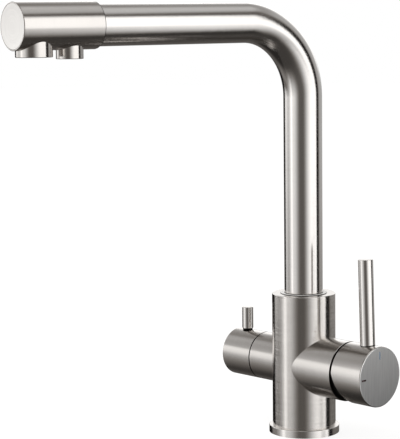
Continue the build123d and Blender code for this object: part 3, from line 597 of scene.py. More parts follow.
bores = [
    (upright, 0, BLOCK_TOP, BLOCK_RADIUS + PLAY),
    (upright, SOCKET_FLOOR, body_top + MM, SOCKET_RADIUS),
    (upright, BUSH_SEAT, body_top + MM, BUSH_RADIUS + PLAY),
    (mixer_line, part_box("cartridge_seals")[0].x, mixer_rim + MM, CARTRIDGE_BORE),
    (mixer_line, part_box("cartridge_nut")[0].x, mixer_rim + MM, NUT_BORE),
    (filter_line, VALVE_SEAT, filter_rim + MM, VALVE_BORE),
    (filter_line, HEADWORK_SEAT, filter_rim + MM, HEADWORK_BORE),
]
for bore in bores:
    drill(tap_body, *bore)
finish(tap_body, "tap_base", "tap_body", sharp_over=SEAM_ANGLE)

# %% [markdown]
# ## Bush
# A white plastic bush sits in the body's top face, round the foot of the spout. The spout turns in it, and
# it stands a hair proud. It is a plain ring with its top edges finely broken.

# %% Turn the bush
tube_radius = 13.6 * MM
BUSH_PROUD = 0.4 * MM
bush_top = body_top + BUSH_PROUD
BUSH_EDGE = 0.15 * MM
bush = cylinder("swivel_bush", upright, BUSH_SEAT, bush_top, BUSH_RADIUS)
bush_bore = tube_radius + 2 * PLAY
inset_disc(bush, upright, [BUSH_SEAT, bush_top], BUSH_RADIUS, bush_bore)
open_through(bush, upright, [BUSH_SEAT, bush_top], bush_bore)
for radius in (BUSH_RADIUS, bush_bore):
    round_rim(bush, upright, bush_top, radius, BUSH_EDGE)
finish(bush, "tap_base", "spout_bush")

# %% [markdown]
# ## Spout tube
# The spout is one steel tube of 27 mm, bent once round a former of about twice its width, with its top level.
# At rest it points a few degrees to the filter's side. The tube starts as a circle at its foot. It is
# drawn up, spun a quarter turn round the middle of the bend, drawn out to the head, and given its wall.

# %% Bend the spout tube
SPOUT_TURN = math.radians(-7.2)
spout_aim = Vector((math.sin(SPOUT_TURN), -math.cos(SPOUT_TURN), 0))
level_height = 291 * MM
level_line = Line((0, 0, level_height), spout_aim)
BEND_RADIUS = 52 * MM
TUBE_WALL = 1 * MM
BEND_STEPS = 48
tube_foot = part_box("spout_tube")[0].z
head_start = 171.6 * MM
tube_end = head_start + 8 * MM

fresh()
bpy.ops.mesh.primitive_circle_add(vertices=SIDES, radius=tube_radius, location=(0, 0, tube_foot))
spout_tube = named("spout_bend")
bpy.ops.object.mode_set(mode="EDIT")
bpy.ops.mesh.select_mode(type="EDGE")
bpy.ops.mesh.select_all(action="SELECT")
push(upright, level_height - BEND_RADIUS - tube_foot)
bend_middle = spout_aim * BEND_RADIUS + UP * (level_height - BEND_RADIUS)
bend_axis = spout_aim.cross(UP)
bpy.ops.mesh.spin(steps=BEND_STEPS, angle=math.pi / 2, center=bend_middle, axis=bend_axis)
push(level_line, tube_end - BEND_RADIUS)
bpy.ops.object.mode_set(mode="OBJECT")
corner = max(level_line.station(v.co) for v in spout_tube.data.vertices)
print("the bend leads out to", round(corner / MM, 1), "mm")

edit_all(spout_tube)
bpy.ops.mesh.remove_doubles(threshold=TOUCH / 10)
bpy.ops.mesh.normals_make_consistent(inside=False)
bpy.ops.object.mode_set(mode="OBJECT")
modify(spout_tube, "SOLIDIFY", thickness=TUBE_WALL, offset=-1)
finish(spout_tube, "spout", "spout_tube")

# %% [markdown]
# ## Spout head
# A thicker sleeve slides over the tube's end and carries both outlets. It steps up from the tube in a
# square shoulder with a fine seam, which is darkened by painted shade on the shoulder's rim and on the tube
# next to it, and its front end is closed by a disc set inside a thin rim. The sleeve is a cylinder,
# hollowed from both ends, with two round openings in its underside.

# %% Turn the head and set its end cap
head_radius = 15.3 * MM
head_bore = head_radius - 3.1 * MM
reach = 231 * MM
CAP_THICKNESS = 3 * MM
RIM_WIDTH = 0.8 * MM
SEAM_WIDTH = 0.5 * MM
SEAM_DEPTH = 1 * MM
HEAD_CHAMFER = 0.35 * MM
DISC_EDGE = 0.3 * MM
main_reach, drink_reach = 216 * MM, 189.9 * MM
main_line = Line(level_line.at(main_reach), UP)
drink_line = Line(level_line.at(drink_reach), UP)
main_radius, drink_radius = 11.85 * MM, 8.8 * MM
cap_radius = head_radius - RIM_WIDTH

head = cylinder("head_sleeve", level_line, head_start, reach, head_radius)
round_rim(head, level_line, head_start, head_radius, EDGE_BREAK)
round_rim(head, level_line, reach, head_radius, HEAD_CHAMFER, 1)
bores = [
    (level_line, head_start - MM, head_start + SEAM_DEPTH, tube_radius + SEAM_WIDTH),
    (level_line, head_start, tube_end, tube_radius + PLAY / 5),
    (level_line, tube_end, reach, head_bore),
    (level_line, reach - CAP_THICKNESS, reach + MM, cap_radius + PLAY),
    (main_line, -head_radius - MM, 0, main_radius + PLAY / 5),
    (drink_line, -head_radius - MM, 0, drink_radius + PLAY / 5),
]
for bore in bores:
    drill(head, *bore)
finish(head, "spout", "spout_head")

end_cap = cylinder("front_disc", level_line, reach - CAP_THICKNESS, reach, cap_radius)
round_rim(end_cap, level_line, reach, cap_radius, DISC_EDGE)
finish(end_cap, "spout", "head_end_cap")

# %% [markdown]
# ## The two outlets
# The wide outlet in front gives hot and cold water through an aerator, and the narrow one behind it gives
# filtered water through a plain nozzle, so the two streams never meet. Each is a short turned collar
# set into the head, with a rounded lower rim and a white insert a little way up inside it.

# %% Turn the collars
collars = {
    "aerator_collar": ("main_outlet_collar", main_line, main_radius, 10.55 * MM),
    "nozzle_collar": ("filter_outlet_collar", drink_line, drink_radius, 7.5 * MM),
}
for name, (node, line, radius, bore) in collars.items():
    low, high = (corner.z - level_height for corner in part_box(node))
    collar = cylinder(name, line, low, high, radius)
    round_rim(collar, line, low, radius, EDGE_BREAK)
    inset_disc(collar, line, low, radius - EDGE_BREAK, bore)
    inset_disc(collar, line, high, radius, bore)
    open_through(collar, line, [low, high], bore)
    round_rim(collar, line, low, bore, EDGE_BREAK / 2)
    finish(collar, "spout", node)

# %% [markdown]
# ## Aerator and nozzle
# The aerator is a moulded cup with a ring of round holes and one in the middle, which mix the water with
# air. The nozzle is a plug with a dished face round one hole. Differences open the aerator, and insets and
# a bridge open the nozzle. Their lower edges are rounded.

# %% Mould the aerator and the nozzle
SPRAY_HOLE = 1.7 * MM
SPRAY_CIRCLE = 5.5 * MM
SPRAY_HOLES = 6
PLATE = 2 * MM
low, high = (corner.z - level_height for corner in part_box("aerator_insert"))
aerator_radius = 10.5 * MM
aerator = cylinder("aerator_cup", main_line, low, high, aerator_radius)
round_rim(aerator, main_line, low, aerator_radius, EDGE_BREAK)
drill(aerator, main_line, low + PLATE, high + MM, aerator_radius - PLATE)
across = spout_aim.cross(UP)
spots = [Vector()] + [
    (spout_aim * math.cos(turn) + across * math.sin(turn)) * SPRAY_CIRCLE
    for turn in (index * math.tau / SPRAY_HOLES for index in range(SPRAY_HOLES))
]
for spot in spots:
    hole_line = Line(main_line.origin + spot, UP)
    drill(aerator, hole_line, low - MM, low + PLATE + MM, SPRAY_HOLE, SMALL_SIDES)
finish(aerator, "spout", "aerator_insert")

low, high = (corner.z - level_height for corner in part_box("filter_nozzle"))
nozzle_radius = 7.45 * MM
NOZZLE_LIP = 1.55 * MM
NOZZLE_HOLE = 2 * MM
nozzle = cylinder("drink_nozzle", drink_line, low, high, nozzle_radius)
pocket(nozzle, drink_line, low, nozzle_radius, nozzle_radius - NOZZLE_LIP, PLATE)
inset_disc(nozzle, drink_line, low + PLATE, nozzle_radius - NOZZLE_LIP, NOZZLE_HOLE)
inset_disc(nozzle, drink_line, high, nozzle_radius, NOZZLE_HOLE)
open_through(nozzle, drink_line, [low + PLATE, high], NOZZLE_HOLE)
round_rim(nozzle, drink_line, low, nozzle_radius, EDGE_BREAK / 2)
finish(nozzle, "spout", "filter_nozzle")

# %% [markdown]
# ## Mixer handle
# The handle's cap is as wide as its housing. A wedge is cut away under it, so that it can tip by twenty
# degrees to open the flow. It is a cylinder, hollow towards the housing, cut once by a slanted plane. The
# lever is a straight rod, screwed into a shallow seat in its top.

# %% Turn the cap and cut its wedge
cap_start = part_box("mixer_cap")[0].x
cap_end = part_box("mixer_cap")[1].x
CAP_WALL = 3 * MM
CAP_HOLLOW = 8 * MM
CAP_EDGE = 0.85 * MM
LIFT_ANGLE = math.radians(20)
APEX_RISE = 2 * MM
WEDGE_EDGE = 0.25 * MM
WEDGE_BLOCK = Vector((40, 60, 60)) * MM
BLOCK_PLACE = Vector((-10, 0, -30)) * MM

cap = cylinder("mixer_handle_cap", mixer_line, cap_start, cap_end, mixer_radius)
round_rim(cap, mixer_line, cap_end, mixer_radius, CAP_EDGE)
pocket(cap, mixer_line, cap_start, mixer_radius, mixer_radius - CAP_WALL, CAP_HOLLOW)
apex = mixer_line.at(cap_start) + UP * APEX_RISE
slant = Vector((-math.cos(LIFT_ANGLE), 0, -math.sin(LIFT_ANGLE)))
wedge = block("wedge", apex + BLOCK_PLACE, WEDGE_BLOCK)
edit_all(wedge)
bpy.ops.mesh.bisect(plane_co=apex, plane_no=-slant, use_fill=True, clear_outer=True)
combine(cap, wedge, "DIFFERENCE")


def on_start(p):
    """True on the cap's outer edge at its start and along its wedge."""
    cut = near(p.x, cap_start) or near((p - apex).dot(slant), 0)
    return cut and near(mixer_line.radius(p), mixer_radius)


start_rim = pick(cap, "EDGE", on_start)
soften(WEDGE_EDGE, 2)
print(start_rim, "edges round the cap's start and its wedge are broken")
print("wedge opens to", round(math.tan(LIFT_ANGLE) * (mixer_radius + APEX_RISE) / MM, 1), "mm")

LEVER_RADIUS = 5.2 * MM
LEVER_LEAN = math.radians(1.9)
LEVER_SET = 16 * MM
LEVER_LENGTH = 80.2 * MM
LEVER_SINK = 2.2 * MM
lever_aim = (-math.sin(LEVER_LEAN), 0, math.cos(LEVER_LEAN))
lever_line = Line(mixer_line.at(cap_start + LEVER_SET), lever_aim)
lever_seat = mixer_radius - LEVER_SINK
screw_low, screw_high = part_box("mixer_set_screw")
screw_line = Line(((screw_low.x + screw_high.x) / 2, 0, branch_height), -UP)
SCREW_RADIUS = 2.5 * MM
HOLE_START = 4 * MM
HOLE_END = 30 * MM
drill(cap, lever_line, lever_seat, HOLE_END, LEVER_RADIUS + PLAY)
drill(cap, screw_line, HOLE_START, HOLE_END, SCREW_RADIUS + PLAY)

# %% [markdown]
# ## The two marks
# Two short enamelled strokes on the cap's end face tell hot from cold: blue at the lever, and red a
# quarter turn ahead. Each is a thin block with softened corners, in a pocket cut by a slightly larger copy.

# %% Mill the pockets and fill them
STROKE_EDGE = 0.12 * MM
for name, node in (("blue_stroke", "cold_mark"), ("red_stroke", "hot_mark")):
    low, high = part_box(node)
    for piece_name, grow in (("mark_pocket", PLAY), (name, 0)):
        size = high - low + Vector((1, 1, 1)) * grow * 2
        stroke = block(piece_name, (low + high) / 2 + ALONG_X * grow, size)
        if grow:
            combine(cap, stroke, "DIFFERENCE")
        else:
            pick(stroke, "EDGE", lambda p: near(p.x, high.x) or (low.x + TOUCH < p.x < high.x - TOUCH))
            soften(STROKE_EDGE, 2)
            finish(stroke, "mixer_handle", node)
finish(cap, "mixer_handle", "mixer_cap")

# %% [markdown]
# ## Levers
# Both levers are ground steel rods with a small round at the tip. The mixer's is long and leans a touch
# towards the body, and its finish paints a shadow at its foot on the cap. The filter's is short, and its
# foot is turned narrower, a neck that its finish paints dark as shade, a dark ring where it meets the knob.
# Each grows from one cylinder by insets and pushes along its own line.

# %% Turn the two levers
TIP_EDGE = 0.4 * MM
TIP_STEPS = 4
THREAD_RADIUS = 3 * MM
THREAD_LENGTH = 8 * MM
lever = cylinder("mixer_rod", lever_line, lever_seat, LEVER_LENGTH, LEVER_RADIUS, ROD_SIDES)
round_rim(lever, lever_line, LEVER_LENGTH, LEVER_RADIUS, TIP_EDGE, TIP_STEPS)
pocket(lever, lever_line, lever_seat, LEVER_RADIUS, THREAD_RADIUS, -THREAD_LENGTH)
finish(lever, "mixer_handle", "mixer_lever")

rod_low, rod_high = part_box("filter_lever")
rod_line = Line(((rod_low.x + rod_high.x) / 2, 0, branch_height), UP)
ROD_RADIUS = rod_high.y
ROD_NECK = 3.6 * MM
ROD_SINK = 2.4 * MM
FOOT_EDGE = 0.2 * MM
rod_foot = filter_radius + MM
rod_seat = filter_radius - ROD_SINK
rod_top = rod_high.z - branch_height
ROD_THREAD = 2.5 * MM
rod = cylinder("filter_rod", rod_line, rod_foot, rod_top, ROD_RADIUS, ROD_SIDES)
round_rim(rod, rod_line, rod_top, ROD_RADIUS, TIP_EDGE, TIP_STEPS)
round_rim(rod, rod_line, rod_foot, ROD_RADIUS, FOOT_EDGE, 2)
inset_disc(rod, rod_line, rod_foot, ROD_RADIUS - FOOT_EDGE, ROD_NECK)
pick_disc(rod, rod_line, rod_foot, ROD_NECK)
push(rod_line, rod_seat - rod_foot)
inset(ROD_NECK - ROD_THREAD)
push(rod_line, rod_low.z - branch_height - rod_seat)
finish(rod, "filter_handle", "filter_lever")

# %% [markdown]
# ## Filter knob
# The knob continues the narrow housing, with a fine gap between them. It is hollow towards the valve. Its
# lever stands in a seat in its top, and a set screw under it bites on the valve's spindle.

# %% Turn the knob
knob_end = -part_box("filter_knob")[0].x
knob_start = -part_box("filter_knob")[1].x
KNOB_WALL = 2.6 * MM
KNOB_HOLLOW = 11 * MM
knob = cylinder("filter_handle_knob", filter_line, knob_start, knob_end, filter_radius)
round_rim(knob, filter_line, knob_end, filter_radius, CAP_EDGE)
round_rim(knob, filter_line, knob_start, filter_radius, WEDGE_EDGE)
pocket(knob, filter_line, knob_start, filter_radius - WEDGE_EDGE, filter_radius - KNOB_WALL, KNOB_HOLLOW)
knob_low, knob_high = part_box("knob_set_screw")
knob_screw_line = Line(((knob_low.x + knob_high.x) / 2, 0, branch_height), -UP)
KNOB_SCREW_RADIUS = 2 * MM
drill(knob, rod_line, rod_seat, HOLE_END, ROD_NECK + PLAY, ROD_SIDES)
drill(knob, knob_screw_line, HOLE_START, HOLE_END, KNOB_SCREW_RADIUS + PLAY, ROD_SIDES)
finish(knob, "filter_handle", "filter_knob")

# %% [markdown]
# ## Set screws
# Three socket screws hold the tap together: one at the back keeps the spout in, and one under each handle
# bites on its stem. Each is a short pin with a rounded rim and a six sided socket for a key.

# %% Turn the screws
KEY_DEPTH = 2 * MM
KEY_SIDES = 6
SCREW_FIT = 0.999
SCREW_EDGE = 0.3 * MM
back_low, back_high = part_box("spout_grub_screw")
back_line = Line((0, 0, (back_low.z + back_high.z) / 2), (0, 1, 0))
screws = {
    "back_screw": ("spout_grub_screw", "tap_base", back_line, back_low.y, back_high.y, KNOB_SCREW_RADIUS),
    "cap_screw": ("mixer_set_screw", "mixer_handle", screw_line, branch_height - screw_high.z,
                  branch_height - screw_low.z, SCREW_RADIUS),
    "knob_screw": ("knob_set_screw", "filter_handle", knob_screw_line, branch_height - knob_high.z,
                   branch_height - knob_low.z, KNOB_SCREW_RADIUS),
}
for name, (node, body, line, start, end, radius) in screws.items():
    screw = cylinder(name, line, start, end, radius * SCREW_FIT, SMALL_SIDES)
    round_rim(screw, line, end, radius * SCREW_FIT, SCREW_EDGE)
    drill(screw, line, end - KEY_DEPTH, end + MM, radius / 2, KEY_SIDES)
    finish(screw, body, node)

# %% [markdown]
# ## Brushed steel
# The metal is brushed on the lathe, so its lines run round each piece, and on the end faces they are rings.
# A point's place along the line plus its distance from it counts them on walls and ends alike. Most are too
# fine to see one by one, so they tip the normal to and fro along the piece, which blurs reflections
# lengthwise only. Coarser ones show as a faint bump. Rims are rubbed brighter, and a haze varies the walls.
# Where a piece lies in a gap, in a hollow or at a joint, painted shade takes its colour down to near black.

# %% Make the brushed finish for any line
STEEL = (0.640, 0.612, 0.584, 1)
STEEL_HAZE = (0.585, 0.560, 0.535, 1)
STEEL_WORN = (0.76, 0.735, 0.71, 1)
TUBE_STEEL = (0.725, 0.700, 0.675, 1)
TUBE_HAZE = (0.680, 0.657, 0.635, 1)
# the front disc's tones are painted lighter than the steel, for the light that falls on it
DISC_PAINTED_LIGHT = (0.92, 0.90, 0.87, 1)
DISC_PAINTED_LIGHT_HAZE = (0.72, 0.70, 0.68, 1)
FACE_LIGHT = (0.82, 0.82, 0.81, 1)
FACE_DARK = (0.50, 0.50, 0.50, 1)
# a near black, painted as shade in gaps, hollows and joints
SHADE_BLACK = (0.010, 0.009, 0.008, 1)
TUBE_TONES = (TUBE_STEEL, TUBE_HAZE)
DISC_PAINTED_LIGHT_TONES = (DISC_PAINTED_LIGHT, DISC_PAINTED_LIGHT_HAZE)
FINE_LINES = 40.0
COARSE_LINES = 2.2
LINE_TIP = 0.25
BODY_TIP = 0.80
ROD_TIP = 0.15
WALL_ROUGHNESS = 0.15
FACE_ROUGHNESS = 0.30
END_ROUGHNESS = 0.36
AROUND_SCALE = 60.0
HAZE_SCALE = 38.0
SMUDGE_SCALE = 140.0
FADE_MIDDLE = 0.35
BUMP_HEIGHT = 0.006 * MM
WEAR_REACH = 0.8 * MM
SHADE_REACH = 0.2 * MM
FOOT_SHADE = 0.6 * MM


def along(look, point, line):
    """Station, radius and outward direction of the shaded point for a line, as sockets."""
    offset = look.vector("SUBTRACT", point, line.origin)
    station = look.dot(offset, line.direction)
    foot = look.vector("SCALE", line.direction, Scale=station)
    out = look.vector("SUBTRACT", offset, foot)
    return station, look.vector("LENGTH", out, output="Value"), look.vector("NORMALIZE", out)


def between(look, share, first, second):
    """The first vector where share is 0 and the second where it is 1."""
    first = look.vector("SCALE", first, Scale=1 - share)
    return look.vector("ADD", first, look.vector("SCALE", second, Scale=share))


def brushed_surface(look, point, count, lengthwise, facing, wear, shade=None, tones=(STEEL, STEEL_HAZE),
                    rough=FACE_ROUGHNESS, face=None, tip=LINE_TIP):
    """Ends a brushed tree: count crosses the lines in metres, facing is 1 on end faces, wear 1 at rims, shade
    1 where the colour is painted dark as shade.
    """
    lines = count / MM
    x, y, z = look.parts(look.vector("SCALE", point, Scale=AROUND_SCALE))
    fine = look.noise(look.joined(lines * FINE_LINES, x + y, z), 1.0, 2.0, 0.7) - 0.5
    coarse = look.noise(look.joined(lines * COARSE_LINES, y + z, x), 1.0, 3.0, 0.6) - 0.5
    haze = look.noise(point, HAZE_SCALE, 4.0, 0.55)
    smudge = look.noise(point, SMUDGE_SCALE, 3.0, 0.6)
    worn = (wear * (smudge * 1.6 - 0.2)).within(0, 1)
    scatter = fine * 0.10 + coarse * 0.08 + (haze - 0.5) * 0.06
    roughness = facing * (rough - WALL_ROUGHNESS) + WALL_ROUGHNESS + scatter - worn * 0.05
    tint = look.blend((haze * 0.7 + coarse * 0.5).within(0, 1), *tones)
    if face:
        light, dark, fade = face
        # the end face's streaks, with painted shade that darkens it towards one side
        streaks_and_shade = look.blend((haze * 0.4 + coarse + fade(look, point)).within(0, 1), light, dark)
        tint = look.blend(facing, tint, streaks_and_shade)
    colour = look.blend(worn, tint, STEEL_WORN)
    # painted shade: the colour goes to near black and the surface rougher where shade is given
    if shade:
        colour = look.blend(shade, colour, SHADE_BLACK)
        roughness = roughness + shade * 0.4

    turned = {"vector_type": "VECTOR", "convert_from": "OBJECT", "convert_to": "WORLD"}
    lengthwise = look.node("ShaderNodeVectorTransform", turned, {"Vector": lengthwise})
    smooth = look.node("ShaderNodeNewGeometry", output="Normal")
    lean = fine * (1 - facing * 0.6) * tip
    tipped = look.vector("ADD", smooth, look.vector("SCALE", lengthwise, Scale=lean))
    normal = look.bump(coarse, 1.0, BUMP_HEIGHT, Normal=look.vector("NORMALIZE", tipped))
    return look.surface(Base_Color=colour, Metallic=1.0, Roughness=roughness.at_least(0.05), Normal=normal)


def rub(look, station, radius, rims):
    """1 near any of the rims, given as station and radius, and 0 away from them."""
    total = None
    for rim_station, rim_radius in rims:
        away = (station - rim_station).size() + (radius - rim_radius).size()
        near_rim = away.ramp(WEAR_REACH, 0.0)
        total = near_rim if total is None else total.at_least(near_rim)
    return total


def end_facing(look, line):
    """1 on faces square to the line, 0 on walls along it."""
    normal = look.node("ShaderNodeTexCoord", output="Normal")
    return look.dot(normal, line.direction).size().ramp(0.75, 0.98)


def brushed(name, line, rims, across=None, hidden=None, **finish_of):
    """Brushed steel for a piece turned on one line, worn at its rims.

    across gives its end faces straight lines instead of rings; hidden tells where the piece lies in a gap and
    gets painted shade.
    """
    look = new_look(name)
    point = look.place()
    station, radius, out = along(look, point, line)
    facing = end_facing(look, line)
    count = station + radius
    if across:
        count = station + radius * (1 - facing) + look.dot(point, across) * facing
        out = across
    lengthwise = between(look, facing, line.direction, out)
    wear = rub(look, station, radius, rims)
    shade = hidden(look, point, station, radius) if hidden else None
    return brushed_surface(look, point, count, lengthwise, facing, wear, shade, **finish_of)


def in_hollow(end, edge, start=-1.0):
    """Marks painted shade inside a hollow piece, before a station and inside a radius, and on its start rim
    by the gap.
    """
    def share(look, point, station, radius):
        inside = station.ramp(end, end - MM) * radius.ramp(edge, edge - 0.2 * MM)
        return inside.at_least(station.ramp(start + SHADE_REACH, start + SHADE_REACH * 0.6))
    return share


def at_foot(line, edge):
    """Marks painted shadow at the foot of a rod, where it stands on a round piece with this line and radius.
    """
    full, none = edge + FOOT_SHADE * 0.4, edge + FOOT_SHADE
    return lambda look, point, station, radius: along(look, point, line)[1].ramp(none, full)


def dress(material, slot, *names):
    """Gives the material to pieces or carried-over nodes; slot is not used."""
    for name in names:
        piece = models.get(name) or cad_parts[name]
        piece.data.materials.clear()
        piece.data.materials.append(material)
        name in models
    print(material.name, "on", ", ".join(names))


def start_shade(start):
    """Marks the rounded rim at a piece's start, which lies in the shade of its step."""
    full, none = start + EDGE_BREAK * 1.1, start + EDGE_BREAK * 1.5
    return lambda look, point, station, radius: station.ramp(none, full)


def end_fade(middle, reach):
    """Painted shade: darkens an end face upwards over the reach round its middle, or downwards if it is
    negative.
    """
    return lambda look, point: (look.parts(point)[2] - middle) / reach + FADE_MIDDLE


MAIN_WEAR, DRINK_WEAR = -19.5 * MM, -21 * MM
HOLLOW_PAST = 2 * MM
crisp = {"tones": TUBE_TONES}
# painted shade on the end faces: the disc darker towards its top, the cap's face darker towards its bottom
disc_face = (*DISC_PAINTED_LIGHT_TONES, end_fade(level_height, 2 * cap_radius))
cap_face = (FACE_LIGHT, FACE_DARK, end_fade(branch_height, -2 * mixer_radius))
# painted shade inside the cap and the knob and on their start rims, and on the filter rod's narrow neck
cap_inside = in_hollow(cap_start + CAP_HOLLOW + HOLLOW_PAST, mixer_radius - 0.5 * MM, cap_start)
knob_inside = in_hollow(knob_start + KNOB_HOLLOW + HOLLOW_PAST, filter_radius - 0.4 * MM, knob_start)
rod_neck = in_hollow(rod_foot + MM, ROD_RADIUS - 0.1 * MM)
steels = {
    "foot_ring": ("ring_steel", upright, [(ring_height, ring_radius)], crisp),
    "head_sleeve": ("head_steel", level_line, [(reach, head_radius), (reach, cap_radius)],
                    {"hidden": start_shade(head_start)}),
    "front_disc": ("disc_steel", level_line, [(reach, cap_radius)],
                   {"tones": DISC_PAINTED_LIGHT_TONES, "face": disc_face, "rough": END_ROUGHNESS}),
    "aerator_collar": ("main_collar_steel", main_line, [(MAIN_WEAR, main_radius)], {}),
    "nozzle_collar": ("drink_collar_steel", drink_line, [(DRINK_WEAR, drink_radius)], {}),
    "mixer_handle_cap": ("cap_steel", mixer_line, [(cap_end, mixer_radius), (cap_start, mixer_radius)],
                         {"hidden": cap_inside, "across": Vector((0, 1, 0)), "face": cap_face,
                          "rough": END_ROUGHNESS}),
    "mixer_rod": ("rod_steel", lever_line, [(LEVER_LENGTH, LEVER_RADIUS)],
                  {"hidden": at_foot(mixer_line, mixer_radius), "tip": ROD_TIP} | crisp),
    "filter_rod": ("short_rod_steel", rod_line, [(rod_top, ROD_RADIUS)],
                   {"hidden": rod_neck, "tip": ROD_TIP} | crisp),
    "filter_handle_knob": ("knob_steel", filter_line,
                           [(knob_end, filter_radius), (knob_start, filter_radius)],
                           {"hidden": knob_inside}),
}
for piece_name, (name, line, rims, finish_of) in steels.items():
    dress(brushed(name, line, rims, **finish_of), "brushed", piece_name)

# %% [markdown]
# ## Brushing on the body and on the bend
# The body has two directions of brushing: round the upright, and round the branches. The change is at the
# seam, where a point is further from the upright's line than the wall is. On the spout the lines follow the
# bend, so they are counted along the tube's own route: up the foot, round the quarter turn and out.

# %% Brush the body and the spout
MIXER_BORE = mixer_radius - 0.6 * MM
FILTER_BORE = filter_radius - 0.6 * MM
JOINT_LINE = 0.9 * MM

look = new_look("body_steel")
point = look.place()
rise_up, from_upright, out_upright = along(look, point, upright)
out_along, from_branch, out_branch = along(look, point, mixer_line)
on_branch = from_upright.ramp(body_radius + 0.02 * MM, body_radius + 0.06 * MM)
count = on_branch * (out_along.size() + from_branch) + (1 - on_branch) * (rise_up + from_upright)
facing = end_facing(look, upright) * (1 - on_branch)
branch_end = end_facing(look, mixer_line) * on_branch
lengthwise = between(
    look, on_branch,
    between(look, facing, UP, out_upright), between(look, branch_end, ALONG_X, out_branch),
)
top_rim = rub(look, rise_up, from_upright, [(body_top, body_radius)])
housing_rims = rub(look, out_along, from_branch, [(mixer_rim, mixer_radius), (-filter_rim, filter_radius)])
worn_rims = top_rim.at_least(housing_rims)
# painted shade: the bores of both housings and the rims at their ends are taken down to near black
bore = out_along.ramp(0.0, MM) * (MIXER_BORE - FILTER_BORE) + FILTER_BORE
in_bore = (bore - from_branch).ramp(-0.1 * MM, 0.1 * MM) * on_branch
housing_end = out_along.ramp(0.0, MM) * (mixer_rim + filter_rim) - filter_rim
past_rim = (out_along - housing_end).size().ramp(SHADE_REACH, SHADE_REACH * 0.6) * on_branch
in_bore = in_bore.at_least(past_rim)
body_tip = on_branch * (LINE_TIP - BODY_TIP) + BODY_TIP
body_steel = brushed_surface(look, point, count, lengthwise, facing, worn_rims, in_bore, tip=body_tip)
dress(body_steel, "brushed", "body_shell")

look = new_look("spout_steel")
point = look.place()
out = look.dot(point, spout_aim)
height = look.parts(point)[2]
bend_start = level_height - BEND_RADIUS
up_past = (height - bend_start).at_least(0)
inner_past = (BEND_RADIUS - out).at_least(0)
swept = up_past.turn_from(inner_past)
route = height.at_most(bend_start) + swept * BEND_RADIUS + (out - BEND_RADIUS).at_least(0)
rising = look.vector("SCALE", UP, Scale=swept.maths("COSINE", swept))
leading = look.vector("SCALE", spout_aim, Scale=swept.maths("SINE", swept))
tube_wear = (out - tube_end).size().ramp(WEAR_REACH, 0.0)
lengthwise = look.vector("ADD", rising, leading)
# painted shade: a thin dark ring on the tube where it enters the head and at its foot in the bush
head_joint = (out - head_start).size().ramp(JOINT_LINE, JOINT_LINE * 0.7)
foot_joint = height.ramp(bush_top + JOINT_LINE * 0.6, bush_top + JOINT_LINE * 0.3)
seam_shade = head_joint.at_least(foot_joint)
spout_steel = brushed_surface(look, point, route, lengthwise, 0.0, tube_wear, seam_shade, TUBE_TONES)
dress(spout_steel, "brushed", "spout_bend")

# %% [markdown]
# ## The other materials
# What else shows is small: the white bush and the inserts are moulded plastic with a faint orange-peel,
# the strokes are enamel, and the screws are oiled steel. Inside are brass, ceramic, rubber and a grey
# cartridge. They are hidden, but a viewer can take each out, so each kind has its own grain and tone.
# The bush gets painted shade at its seams, and the cartridge nut's brass is painted near black as shade.

# %% Make the small materials
def grained(name, dark, light, scale, roughness, metallic=0.0, depth=0.01, stretch=(1, 1, 1), shade_mask=None):
    """A material with two tones, a fine grain in its roughness and its bump, paler rubbed spots, and painted
    shade where a shade mask is given.
    """
    look = new_look(name)
    point = look.place()
    laid = look.vector("MULTIPLY", point, Vector(stretch))
    broad = look.noise(laid, scale * 0.12, 3.0, 0.5)
    grain = look.noise(laid, scale, 4.0, 0.6)
    spots = look.noise(point, scale * 0.35, 2.0, 0.5).ramp(0.58, 0.74)
    colour = look.blend(broad.ramp(0.35, 0.65), dark, light)
    rubbed = look.blend(spots * 0.35, colour, tuple(min(1, part * 1.12) for part in light[:3]) + (1,))
    # painted shade: near black where the shade mask is 1
    if shade_mask:
        rubbed = look.blend(shade_mask(look, point), rubbed, SHADE_BLACK)
    rough = (grain - 0.5) * 0.16 + roughness - spots * 0.05
    normal = look.bump(grain, 0.6, depth * MM)
    return look.surface(Base_Color=rubbed, Metallic=metallic, Roughness=rough.at_least(0.05), Normal=normal)


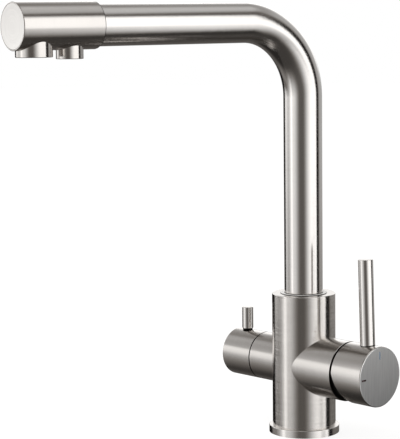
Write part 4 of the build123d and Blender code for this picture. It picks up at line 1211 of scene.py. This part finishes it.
RINGED = (3, 3, 14)
finishes = {
    "white_plastic": (((0.74, 0.735, 0.72, 1), (0.80, 0.795, 0.785, 1), 2600, 0.34),
                      ("aerator_cup", "drink_nozzle")),
    "grey_plastic": (((0.20, 0.205, 0.21, 1), (0.25, 0.255, 0.26, 1), 2400, 0.42), ("mixer_cartridge",)),
    "tube_plastic": (((0.70, 0.72, 0.74, 1), (0.76, 0.78, 0.80, 1), 1800, 0.30),
                     ("filtered_tube", "filter_elbow")),
    "blue_mark": (((0.17, 0.23, 0.31, 1), (0.20, 0.27, 0.36, 1), 3800, 0.28), ("blue_stroke",)),
    "red_mark": (((0.020, 0.004, 0.004, 1), (0.032, 0.006, 0.006, 1), 3800, 0.28), ("red_stroke",)),
    "rubber": (((0.018, 0.018, 0.018, 1), (0.030, 0.030, 0.030, 1), 3000, 0.62),
               ("base_gasket", "inlet_seals", "cartridge_seals", "valve_seal", "spigot_seals",
                "filtered_tube_seal", "aerator_seal")),
    "ceramic": (((0.78, 0.77, 0.74, 1), (0.84, 0.83, 0.81, 1), 2200, 0.16),
                ("mixer_fixed_disc", "mixer_moving_disc", "valve_fixed_disc", "valve_moving_disc")),
}
for slot, (tones, names) in finishes.items():
    dress(grained(slot + "_look", *tones), slot, *names)


def bush_wall_shade(look, point):
    """1 on the bush's outer wall and at the tube's foot, where shade is painted at the seams."""
    radius = along(look, point, upright)[1]
    wall = radius.ramp(BUSH_RADIUS - 0.3 * MM, BUSH_RADIUS - 0.1 * MM)
    return wall.at_least(radius.ramp(tube_radius + 0.3 * MM, tube_radius + 0.2 * MM))


# the bush is painted dark as shade on its walls at the seams
bush_plastic = grained("bush_plastic", *finishes["white_plastic"][0], shade_mask=bush_wall_shade)
dress(bush_plastic, "white_plastic", "swivel_bush")
brass = grained("turned_brass", (0.62, 0.42, 0.18, 1), (0.74, 0.53, 0.26, 1), 900, 0.30, 1.0, 0.02, RINGED)
dress(brass, "brass", "inlet_manifold", "valve_headwork", "spout_spigot", "cartridge_spindle", "mixer_stem",
      "valve_spindle")
# painted shade: the cartridge nut sits in the mixer's wedge gap, so its brass is painted near black
shade_tones = ((0.012, 0.011, 0.010, 1), (0.022, 0.020, 0.018, 1))
shaded_brass = grained("brass_painted_dark", *shade_tones, 900, 0.55, 0.6, 0.02, RINGED)
dress(shaded_brass, "brass", "cartridge_nut")
dark_steel = grained("oiled_steel", (0.28, 0.28, 0.29, 1), (0.40, 0.40, 0.41, 1), 1600, 0.32, 1.0, 0.01)
dress(dark_steel, "screw_steel", "back_screw", "cap_screw", "knob_screw", "pivot_pin")
